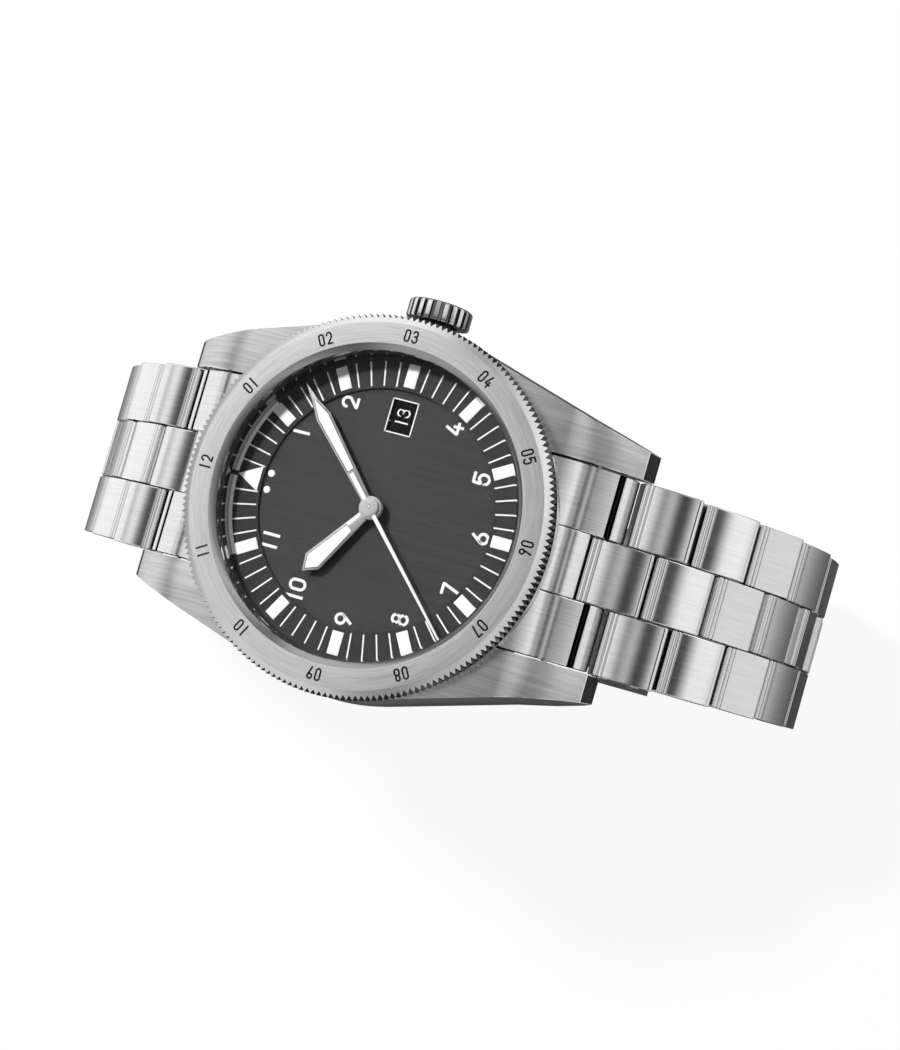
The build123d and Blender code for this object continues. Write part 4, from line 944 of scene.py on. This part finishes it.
def make_crystal_piece():
    """Domed crystal with a flat underside and a small chamfer at its rim."""
    bm = bmesh.new()
    rise = crystal_high - crystal_edge
    sphere = (crystal_radius**2 + rise**2) / (2 * rise)
    outline = [
        (0.0, crystal_low), (crystal_radius, crystal_low),
        (crystal_radius, crystal_edge - crystal_chamfer),
    ]
    for ring in range(crystal_rings + 1):
        radius = (crystal_radius - crystal_chamfer) * (1 - ring / crystal_rings)
        outline.append((radius, crystal_high - sphere + sqrt(sphere**2 - radius**2)))
    spun(bm, outline, closed=False)
    finish_piece("crystal_dome", bm, "case", [crystal_glass], replaced=["crystal"])


def make_inner_ring():
    """Gloss black ring between the dial and the crystal, with a small foot on the dial."""
    bm = bmesh.new()
    outer, inner, high = 16.8, 16.45, 2.13
    spun(bm, rounded([
        (outer, 0.01, 0), (outer, high, 0), (inner, high, 0.05), (inner, 0.35, 0.05),
        (inner - 0.05, 0.01, 0),
    ]))
    finish_piece("inner_ring", bm, "case", [gloss_ring], replaced=["rehaut_ring"])


def print_ring(bm, inner, outer, low, high, start, end, steps=64):
    """Part of a flat ring between two clock angles."""
    outline = []
    for radius, angles in ((outer, range(steps + 1)), (inner, range(steps, -1, -1))):
        for place in angles:
            angle = radians(start + (end - start) * place / steps)
            outline.append((radius * sin(angle), radius * cos(angle)))
    slab(bm, outline, low, high)


print_high = 0.02
tick_half = 0.08
tick_start = 13.3
tick_end = 15.98
arc_outer = 16.38
arc_angles = (0.9, 31.5)
hour_number_radius = 12.05
window_frame = 0.13
block_high = 0.12
block_half = 0.64
block_start = 13.42
block_end = 15.95
triangle_half = 1.37
triangle_start = 13.35
dot_radius = 0.39
dot_place = (0.9, 12.4)
dot_steps = 32


def make_dial_print():
    """White ticks, grey arc, hour numbers and the date window's frame."""
    ticks = bmesh.new()
    tick = boxed(-tick_half, tick_half, tick_start, tick_end)
    for minute in range(60):
        if minute % 5:
            slab(ticks, tick, 0.0, print_high, clockwise(6 * minute))
    for hour in range(1, 12):
        if hour != 3:
            place = at_clock(hour_number_radius, 30 * hour, -dial_step + 0.01)
            drawn_number(ticks, str(hour), 2.0, 0.32, 0.04, place)
    corners = boxed(
        window[0] - window_frame, window[1] + window_frame, -window_half - window_frame,
        window_half + window_frame,
    )
    low = -dial_step
    for place in range(4):
        here, after = Vector(corners[place]), Vector(corners[(place + 1) % 4])
        along = (after - here).normalized()
        inward = Vector((-along.y, along.x)) * window_frame
        side = [tuple(here), tuple(after), tuple(after + inward), tuple(here + inward)]
        slab(ticks, side, low, low + print_high)
    finish_piece("dial_print", ticks, "case", [white_print])
    arc = bmesh.new()
    near, far = arc_angles
    for start, end in ((-far, -near), (near, far)):
        print_ring(arc, tick_end, arc_outer, 0.0, print_high, start, end)
    finish_piece("dial_arc", arc, "case", [arc_print])


def make_markers():
    """Luminous hour blocks, the triangle and the two dots at 12."""
    bm = bmesh.new()
    block = boxed(-block_half, block_half, block_start, block_end)
    for hour in range(1, 12):
        slab(bm, block, 0.0, block_high, clockwise(30 * hour), edge=0.04)
    triangle = [(0, block_end), (-triangle_half, triangle_start), (triangle_half, triangle_start)]
    slab(bm, triangle, 0.0, block_high, edge=0.03)
    for hand in (-1, 1):
        dot = []
        for step in range(dot_steps):
            angle = turn * step / dot_steps
            x = hand * dot_place[0] + dot_radius * cos(angle)
            dot.append((x, dot_place[1] + dot_radius * sin(angle)))
        slab(bm, dot, -dial_step, -dial_step + block_high, edge=0.04)
    finish_piece("hour_blocks", bm, "case", [lume], replaced=["hour_markers"])


date_inner = 8.2
date_outer = 12.5
date_thick = 0.2
date_number_radius = 10.25
date_shown = 13


def make_date():
    """Black disc with the numbers 1 to 31, upright as they pass the window."""
    disc = bmesh.new()
    high = height_of("date_disc", 1)
    spun(disc, boxed(date_inner, date_outer, high - date_thick, high))
    finish_piece("date_plate", disc, "date_disc", [date_black], replaced=["date_disc"])
    numbers = bmesh.new()
    for day in range(1, 32):
        from_window = clockwise(360 / 31 * (day - date_shown))
        place = from_window @ Matrix.Translation((date_number_radius, 0, high))
        drawn_number(numbers, str(day), 1.5, 0.17, print_thick, place, steps=3)
    finish_piece("date_numbers", numbers, "date_disc", [white_print])


# Hands

hour_angle = 303.8
minute_angle = 45.7
second_angle = 225.4
hour_side = [(0.6, 0.52), (8.5, 1.15), (10.0, 0.0)]
hour_lume_side = [(3.1, 0.5), (8.4, 0.95), (9.7, 0.0)]
minute_side = [(0.6, 0.47), (11.4, 0.85), (13.4, 0.33), (15.7, 0.0)]
minute_lume_side = [(4.6, 0.44), (11.3, 0.66), (13.7, 0.0)]
needle_sides = ([(0.4, 0.22), (16.2, 0.11)], [(-4.2, 0.25), (-0.4, 0.25)])
hand_hub = 1.25
groove_margin = 0.07


def hand_points(stations):
    """Closed outline along Y from (length, half width) stations."""
    right = [(half, length) for length, half in stations]
    left = [(-half, length) for length, half in reversed(stations) if half]
    return right + left


def make_hand(node, body, angle, stations, lume_stations, bore):
    """Steel hand with a bevelled edge, a hub and a luminous inlay set in a near black slab, which is
    painted shade round the inlay.
    """
    name = node + "_steel"
    low, high = height_of(node, 0), height_of(node, 1)
    turned = clockwise(angle)
    bm = bmesh.new()
    slab(bm, hand_points(stations), low, high, turned, edge=0.05)
    hub = [(bore, low, 0), (hand_hub, low, 0), (hand_hub, high + 0.02, 0.04), (bore, high + 0.02, 0)]
    spun(bm, rounded(hub), steps=96)
    finish_piece(name, bm, body, [hand_face], replaced=[node])
    # Near black slab round the inlay: painted shade.
    groove = bmesh.new()
    slab(groove, hand_points(lume_stations), high - 0.05, high + 0.005, turned)
    finish_piece(name + "_groove", groove, body, [painted_shade_steel])
    (first, first_half), *between, (last, _) = lume_stations
    inner = [(first + 0.05, first_half - groove_margin)]
    inner += [(length, half - groove_margin) for length, half in between]
    inner += [(last - 0.12, 0.0)]
    inlay = bmesh.new()
    slab(inlay, hand_points(inner), high - 0.05, high + 0.03, turned, edge=0.02)
    finish_piece(name + "_lume", inlay, body, [lume])


def make_hands():
    """Hour, minute and second hands at nearly eight minutes past ten."""
    make_hand("hour_hand", "hours", hour_angle, hour_side, hour_lume_side, 0.82)
    make_hand("minute_hand", "minutes", minute_angle, minute_side, minute_lume_side, 0.47)
    low, high = height_of("second_hand", 0), height_of("second_hand", 1)
    needle = bmesh.new()
    for side in needle_sides:
        slab(needle, hand_points(side), low, high, clockwise(second_angle), edge=0.03)
    finish_piece(
        "second_hand_needle", needle, "seconds", [white_print], replaced=["second_hand"]
    )
    hub = bmesh.new()
    spun(hub, rounded([
        (0.0, low, 0), (1.0, low, 0), (1.0, high + 0.05, 0.06), (0.34, high + 0.05, 0.02),
        (0.3, high + 0.02, 0.02), (0.0, high + 0.02, 0),
    ]), closed=False, steps=96)
    finish_piece("second_hand_hub", hub, "seconds", [hand_face])
    cap = bmesh.new()
    spun(cap, [(0.0, high + 0.1), (0.12, high + 0.08), (0.17, high + 0.02)], closed=False, steps=32)
    finish_piece("second_hand_post", cap, "seconds", [polished_steel])


# Crown

crown_ribs = 23
rib_columns = 12
flute_half_columns = 2
flute_root = 3.17
crown_face = 2.9
crown_neck = 2.25
crown_bore = 0.5


def make_crown():
    """Crown with wide flat ribs between cut flutes, a stepped neck and a plain turned face; the flutes and
    the neck are painted dark as shade.
    """
    bm = bmesh.new()
    columns = crown_ribs * rib_columns
    along_x = {"steps": columns, "closed": False, "axis": (1, 0, 0), "start_side": (0, 1, 0)}
    spun(bm, [
        (crown_neck, crown_start), (crown_face, crown_start), (flute_root, crown_start + 0.02),
        (crown_radius - 0.1, crown_start + 0.04), (crown_radius, crown_start + 0.16),
        (crown_radius, crown_end - 0.4), (crown_radius - 0.1, crown_end - 0.24),
        (flute_root, crown_end - 0.1), (crown_face, crown_end - 0.03), (2.7, crown_end),
        (0.0, crown_end),
    ], **along_x)
    for vert in bm.verts:
        radius = hypot(vert.co.y, vert.co.z)
        column = round(atan2(vert.co.z, vert.co.y) / turn * columns) % rib_columns
        if radius > flute_root and min(column, rib_columns - column) <= flute_half_columns:
            vert.co.y *= flute_root / radius
            vert.co.z *= flute_root / radius
    neck = [(crown_bore, crown_start + 1.3), (crown_neck, crown_start + 1.3), (crown_neck, crown_start)]
    spun(bm, neck, **along_x)
    bmesh.ops.translate(bm, verts=bm.verts, vec=(0, 0, crown_height))
    bm.normal_update()

    def choose(face):
        centre = face.calc_center_median()
        radius = hypot(centre.y, centre.z - crown_height)
        # The neck takes near black steel and the flutes dark steel: painted shade.
        if radius < 3.0 and centre.x < crown_start + 0.5:
            return 1
        return 2 if 3.0 < radius < crown_radius - 0.14 and centre.x < crown_end - 0.1 else 0

    finish_piece(
        "crown_grip", bm, "crown", [satin_steel, painted_shade_steel, flute_painted_shade],
        choose, replaced=["crown"], smooth=radians(40),
    )


# Bracelet

link_pitch = 7.2
link_gap = 0.6
link_overhang = 1.5
nose_lap = 0.48
end_lap = 0.12
link_top = 1.5
link_crown = 0.2
link_crown_steps = 10
link_face = (1.14, 0.7)
row_gap = 0.1
bracelet_half = 10.5
middle_row_half = 3.45
pin_head = 0.55
pin_slot = (0.45, 0.06)
pin_slot_turn = 0.6
joint_of_child = {joint["child"]: joint for joint in frame["joints"]}

# Bead and grooves at a link's first end: distance from it, distance at which the crowned top is
# taken, drop below that top, and corner radius
link_bead = (
    (1.08, 1.14, 0.05, 0), (1.06, 1.14, 0.14, 0), (0.98, 1.14, 0.14, 0),
    (0.96, 0.8, 0, 0.09), (0.58, 0.5, 0, 0.09),
    (0.56, 0, 0.1, 0), (0.48, 0, 0.1, 0), (0.46, 0, 0, 0.1), (0, 0, 0.02, 0.25),
)


def pin_place(body):
    """(y, height) of the pin that a bracelet body turns on."""
    _, y, z = joint_of_child[body]["pos_m"]
    return y / mm, z / mm - dial_level


def link_profile(start, end):
    """Side view of one link: a crowned top with beads at its first end, rounded at its other."""
    middle = (start + end) / 2
    half = (end - start) / 2

    def top(place):
        return link_top - 0.02 - link_crown * ((place - middle) / half) ** 2

    face_start = start + link_face[0]
    face_end = end - link_face[1]
    corners = [
        (start + 0.6, -link_top, 0.3),
        (end - 0.6, -link_top, 0.3),
        (end, -link_top + 0.7, 0.3),
        (end, top(end), 0.5),
    ]
    for step in range(link_crown_steps + 1):
        place = face_end + (face_start - face_end) * step / link_crown_steps
        corners.append((place, top(place), 0))
    for along, under, drop, radius in link_bead:
        corners.append((start + along, top(start + under) - drop, radius))
    corners.append((start, -link_top + 0.7, 0.3))
    return rounded(corners, steps=5)


def unit_matrix(y, height, slope, side):
    """Frame of a bracelet unit: X along it from its pin, Y out of its top, Z across the bracelet."""
    along = Vector((0, side * cos(slope), -sin(slope)))
    up = Vector((0, side * sin(slope), cos(slope)))
    across = along.cross(up)
    matrix = Matrix((along, up, across)).transposed().to_4x4()
    matrix.translation = (0, y, height)
    return matrix


def choose_link(face):
    """Brushed top, bottom and sides, and polished ends, beads and rims."""
    return 0 if abs(face.normal.x) > 0.95 or face.calc_area() > 1.0 else 1


def make_unit(name, y, height, slope, side, half, row):
    """One bracelet unit: a middle link, two outer links and slotted pin heads."""
    bm = bmesh.new()
    matrix = unit_matrix(y, height, slope, side)
    length = link_pitch - link_gap
    inner = link_profile(-link_overhang - nose_lap, -link_overhang + length + end_lap)
    outer_start = link_pitch / 2 - link_overhang
    outer = link_profile(outer_start - end_lap, outer_start + length + end_lap)
    slot_long, slot_wide = pin_slot
    slot = boxed(-slot_long, slot_long, -slot_wide, slot_wide)
    carried(bm, inner, row, matrix)
    for hand in (-1, 1):
        mirrored = matrix @ Matrix.Scale(hand, 4, (0, 0, 1))
        carried(bm, outer, half, mirrored, start=row + row_gap)
        for place in (link_pitch / 2, link_pitch):
            pin = bmesh.new()
            bmesh.ops.create_cone(
                pin, cap_ends=True, segments=24, radius1=pin_head, radius2=pin_head - 0.05, depth=0.06
            )
            bmesh.ops.translate(pin, verts=pin.verts, vec=(place, 0, half))
            bmesh.ops.transform(pin, matrix=mirrored, verts=pin.verts)
            join_into(bm, pin)
            spot = mirrored @ Matrix.Translation((place, 0, half + 0.03))
            spot = spot @ Matrix.Rotation(pin_slot_turn, 4, "Z")
            slab(bm, slot, -0.01, 0.01, spot)
    finish_piece(
        name + "_rows", bm, name, [brushed_links, polished_steel], choose_link,
        replaced=[name],
    )


def make_bracelet():
    """Every unit of both halves, between the pins that the joints give; the last at 12 lies flat."""
    for where, side, count in (("6", -1, 9), ("12", 1, 11)):
        for unit in range(1, count + 1):
            name = f"link_{where}_{unit}"
            y, height = pin_place(name)
            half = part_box(name)[1].x / mm
            row = middle_row_half * half / bracelet_half
            if unit < count:
                next_y, next_height = pin_place(f"link_{where}_{unit + 1}")
            elif where == "6":
                next_y, next_height = pin_place("clasp_cover")
            else:
                next_y, next_height = y - link_pitch, height
            slope = atan2(height - next_height, side * (next_y - y))
            make_unit(name, y, height, slope, side, half, row)


end_link_half = 10.42
end_link_start = (17.4, 0.42)
end_link_foot = 20.9
groove_start = 24.05
groove_end = 24.56
groove_low = -4.5
tail_start = 25.42


def make_end_link(where, side):
    """End link in three rows between the lugs, with a groove and a bead before its tail; the groove, and
    the tail on the 6 side, are painted near black as shade.
    """
    bm = bmesh.new()
    across = Matrix(((0, 0, side, 0), (side, 0, 0, 0), (0, 1, 0, 0), (0, 0, 0, 1)))
    foot = [(end_link_foot, case_low, 0), (end_link_start[0], case_low, 0)]
    outer = rounded([
        (*end_link_start, 0), (20.3, 0.1, 7.8), (groove_start, -3.2, 0.1), (24.1, -4.1, 0),
        (24.42, -4.3, 0), (groove_end, -3.72, 0.12), (25.15, -4.35, 0.45), (25.7, -5.9, 0.6),
        (25.0, -7.15, 0.3), (22.4, -7.15, 0.5), *foot,
    ], steps=14)
    inner = rounded([
        (*end_link_start, 0), (20.7, 0.1, 5.6), (22.95, -2.25, 0.4), (22.7, -3.2, 0.3),
        (21.95, -5.0, 0.3), (22.6, -7.1, 0.3), *foot,
    ], steps=10)
    for hand in (-1, 1):
        mirrored = across @ Matrix.Scale(hand, 4, (0, 0, 1))
        carried(bm, outer, end_link_half, mirrored, start=middle_row_half + row_gap)
    carried(bm, inner, middle_row_half + 0.02, across, rim=0.1)

    def choose(face):
        centre = face.calc_center_median()
        reach = abs(centre.y)
        in_groove = groove_start - 0.04 < reach < groove_end - 0.02 and centre.z > groove_low
        # The outer rows' groove takes near black steel: painted shade in the groove.
        if in_groove and abs(centre.x) > middle_row_half:
            return 2
        # The tail is near black on the 6 side and polished on the 12 side: painted shade on one side.
        if reach > tail_start:
            return 2 if side < 0 else 1
        return 0 if face.normal.z > 0.15 and face.calc_area() > 0.5 else 1

    finish_piece(
        f"end_link_{where}_rows", bm, "case", [brushed_ends, polished_steel, painted_shade_steel],
        choose, replaced=[f"end_link_{where}"],
    )


# Finishes of the solids that stay as they are

kept_finishes = (
    (dial_coat, "dial"),
    (seal_rubber, "gaskets"),
    (spacer_plastic, "movement_ring"),
    # The crown tube is near black as painted shade.
    (painted_shade_steel, "crown_tube"),
    (satin_steel, "bezel_spring_ring winding_stem setting_lever escape_wheel pallet_fork spring_bars"),
    (plate_nickel, "main_plate train_bridge balance_cock rotor"),
    (gilt_brass, "barrel centre_wheel third_wheel fourth_wheel balance_wheel hour_wheel minute_wheel"),
    (brushed_links, "clasp_cover clasp_middle_leaf clasp_inner_leaf"),
    (polished_steel, "movement_screws clasp_pusher_left clasp_pusher_right"),
)


def finish_kept_nodes():
    """Give each solid that stays its finish."""
    for material, names in kept_finishes:
        for name in names.split():
            node = frame["nodes"][name]
            node.data.materials.clear()
            node.data.materials.append(material)


# Stage: floor, lights and camera

floor_size = 3.0
# Floor glow seen in the metal is dimmed near the watch: painted shadow.
floor_shadow_radius = 0.055
floor_shadow_end_radius = 0.13
floor_painted_shadow = 0.07
# Floor glow seen in the metal rises towards +Y: painted light.
floor_painted_light_reach = 0.12
floor_painted_light = 1.28
floor_glow = 0.93
floor_mirror = 0.97
studio_side_reach = 0.35
studio_sides = (0.72, 1.06)
soft_share = 0.72
studio_bands = (
    (-180, 0.3), (-94, 0.6), (-89, 0.85), (-86, 1.3), (-83, 1.1), (-80, 0.35), (-77, 0.08),
    (-74.5, 0.1), (-70, 1.1), (-60, 1.28), (-35, 1.28), (-22, 1.15), (-14, 0.7), (-6, 0.42),
    (6, 0.42), (18, 0.8), (28, 1.1), (34, 1.4), (37.5, 1.3), (42, 0.35), (46, 0.8), (50, 0.06),
    (54, 0.1), (59, 1.2), (62.5, 0.06), (66, 0.1), (72, 1.3), (80, 1.35), (88, 0.8), (95, 0.8),
    (180, 0.3),
)


def make_floor():
    """Pale floor that the watch stands on: white to the camera; in the metal its glow is painted darker
    close by, a painted shadow, and brighter towards +Y, painted light.
    """
    mesh = bpy.data.meshes.new("floor")
    bm = bmesh.new()
    bmesh.ops.create_grid(bm, x_segments=1, y_segments=1, size=floor_size)
    bm.to_mesh(mesh)
    bm.free()
    floor = bpy.data.objects.new("floor", mesh)
    bpy.context.scene.collection.objects.link(floor)
    material, tree, shader = new_material(
        "floor_white", 0.0, base_color=(0.9, 0.9, 0.9, 1), roughness=0.9, specular_ior_level=0.0
    )
    path = tree.nodes.new("ShaderNodeLightPath")
    where = object_place(tree)
    length = tree.nodes.new("ShaderNodeVectorMath")
    length.operation = "LENGTH"
    tree.links.new(where, length.inputs[0])
    shadow_span = (floor_shadow_radius, floor_shadow_end_radius)
    # Glow dimmed close to the watch: painted shadow.
    painted_shadow = ranged(tree, length.outputs["Value"], shadow_span, (floor_painted_shadow, 1.0))
    # Glow brighter towards +Y: painted light.
    painted_light_reach = (-floor_painted_light_reach, floor_painted_light_reach)
    painted_light_side = ranged(tree, parts_of(tree, where)[1], painted_light_reach, (1.0, floor_painted_light))
    camera_sees = path.outputs["Is Camera Ray"]
    through, back = path.outputs["Is Transmission Ray"], path.outputs["Is Glossy Ray"]
    mirrored = calculate(tree, "MAXIMUM", back, through)
    painted_glow = calculate(tree, "MULTIPLY", painted_shadow, painted_light_side)
    seen = calculate(tree, "SUBTRACT", 1.0, camera_sees)
    painted_glow = calculate(tree, "ADD", calculate(tree, "MULTIPLY", painted_glow, seen), camera_sees)
    glow = tree.nodes.new("ShaderNodeEmission")
    tree.links.new(painted_glow, glow.inputs["Strength"])
    by_camera = calculate(tree, "MULTIPLY", camera_sees, floor_glow)
    by_metal = calculate(tree, "MULTIPLY", mirrored, floor_mirror)
    mix_surface(tree, calculate(tree, "MAXIMUM", by_camera, by_metal), shader, glow)
    mesh.materials.append(material)


def make_world():
    """Studio surround whose light and dark bands cross the bracelet's direction, in front of white."""
    world = bpy.data.worlds.new("studio")
    bpy.context.scene.world = world
    world.use_nodes = True
    tree = world.node_tree
    background = tree.nodes["Background"]
    facing = tree.nodes.new("ShaderNodeTexCoord").outputs["Generated"]
    x, y, z = parts_of(tree, facing)
    angle = calculate(tree, "ARCTAN2", calculate(tree, "MULTIPLY", y, -1.0), z)
    share = calculate(tree, "ADD", calculate(tree, "DIVIDE", angle, turn), 0.5)
    ramp = tree.nodes.new("ShaderNodeValToRGB")
    tree.links.new(share, ramp.inputs[0])
    elements = ramp.color_ramp.elements
    elements.remove(elements[0])
    for place, (degree, value) in enumerate(studio_bands):
        element = elements[0] if place == 0 else elements.new(degree / 360 + 0.5)
        element.position = degree / 360 + 0.5
        element.color = (value / 2, value / 2, value / 2, 1)
    sides = ranged(tree, x, (-studio_side_reach, studio_side_reach), studio_sides)
    path = tree.nodes.new("ShaderNodeLightPath")
    camera_sees = path.outputs["Is Camera Ray"]
    soft = calculate(tree, "MULTIPLY", path.outputs["Is Diffuse Ray"], soft_share)
    undimmed = calculate(tree, "SUBTRACT", 2.0, calculate(tree, "MULTIPLY", soft, 2.0))
    level = calculate(tree, "MULTIPLY", sides, undimmed)
    white = tree.nodes.new("ShaderNodeMix")
    white.data_type = "RGBA"
    white.inputs["B"].default_value = (1, 1, 1, 1)
    tree.links.new(ramp.outputs[0], white.inputs["A"])
    strength = tree.nodes.new("ShaderNodeMix")
    strength.inputs["B"].default_value = 1.0
    tree.links.new(level, strength.inputs["A"])
    for node, socket_name in ((white, "Color"), (strength, "Strength")):
        tree.links.new(camera_sees, node.inputs["Factor"])
        tree.links.new(node.outputs["Result"], background.inputs[socket_name])


def make_light(name, location, aim, size, power):
    """Square soft light that faces a point."""
    data = bpy.data.lights.new(name, "AREA")
    data.shape = "SQUARE"
    data.size = size
    data.energy = power
    light = bpy.data.objects.new(name, data)
    light.location = location
    light.rotation_mode = "QUATERNION"
    light.rotation_quaternion = (Vector(aim) - Vector(location)).to_track_quat("-Z", "Y")
    light.visible_glossy = False
    bpy.context.scene.collection.objects.link(light)


def make_camera():
    """Camera fitted to the photograph: place, aim point on the dial's plane and roll."""
    location = Vector((-14.125, -86.54, 308.24)) * mm
    aim = Vector((0.512, -8.56, dial_level)) * mm
    roll = radians(-63.82)
    data = bpy.data.cameras.new("camera")
    data.sensor_width = 36.0
    data.lens = 85.714
    data.clip_start = 0.01
    data.clip_end = 20.0
    camera = bpy.data.objects.new("camera", data)
    bpy.context.scene.collection.objects.link(camera)
    facing = (aim - location).to_track_quat("-Z", "Y").to_matrix().to_4x4()
    camera.matrix_world = Matrix.Translation(location) @ facing @ Matrix.Rotation(roll, 4, "Z")
    bpy.context.scene.camera = camera


make_floor()
make_world()
make_light("key", (0.25, 0.28, 0.75), aim=(0, 0, 0.05), size=0.08, power=6.4)
make_camera()
bpy.context.scene.view_settings.view_transform = "Standard"

make_bezel()
make_case()
make_case_back()
make_crystal_piece()
make_inner_ring()
make_dial_print()
make_markers()
make_date()
make_hands()
make_crown()
make_bracelet()
make_end_link("6", -1)
make_end_link("12", 1)
finish_kept_nodes()
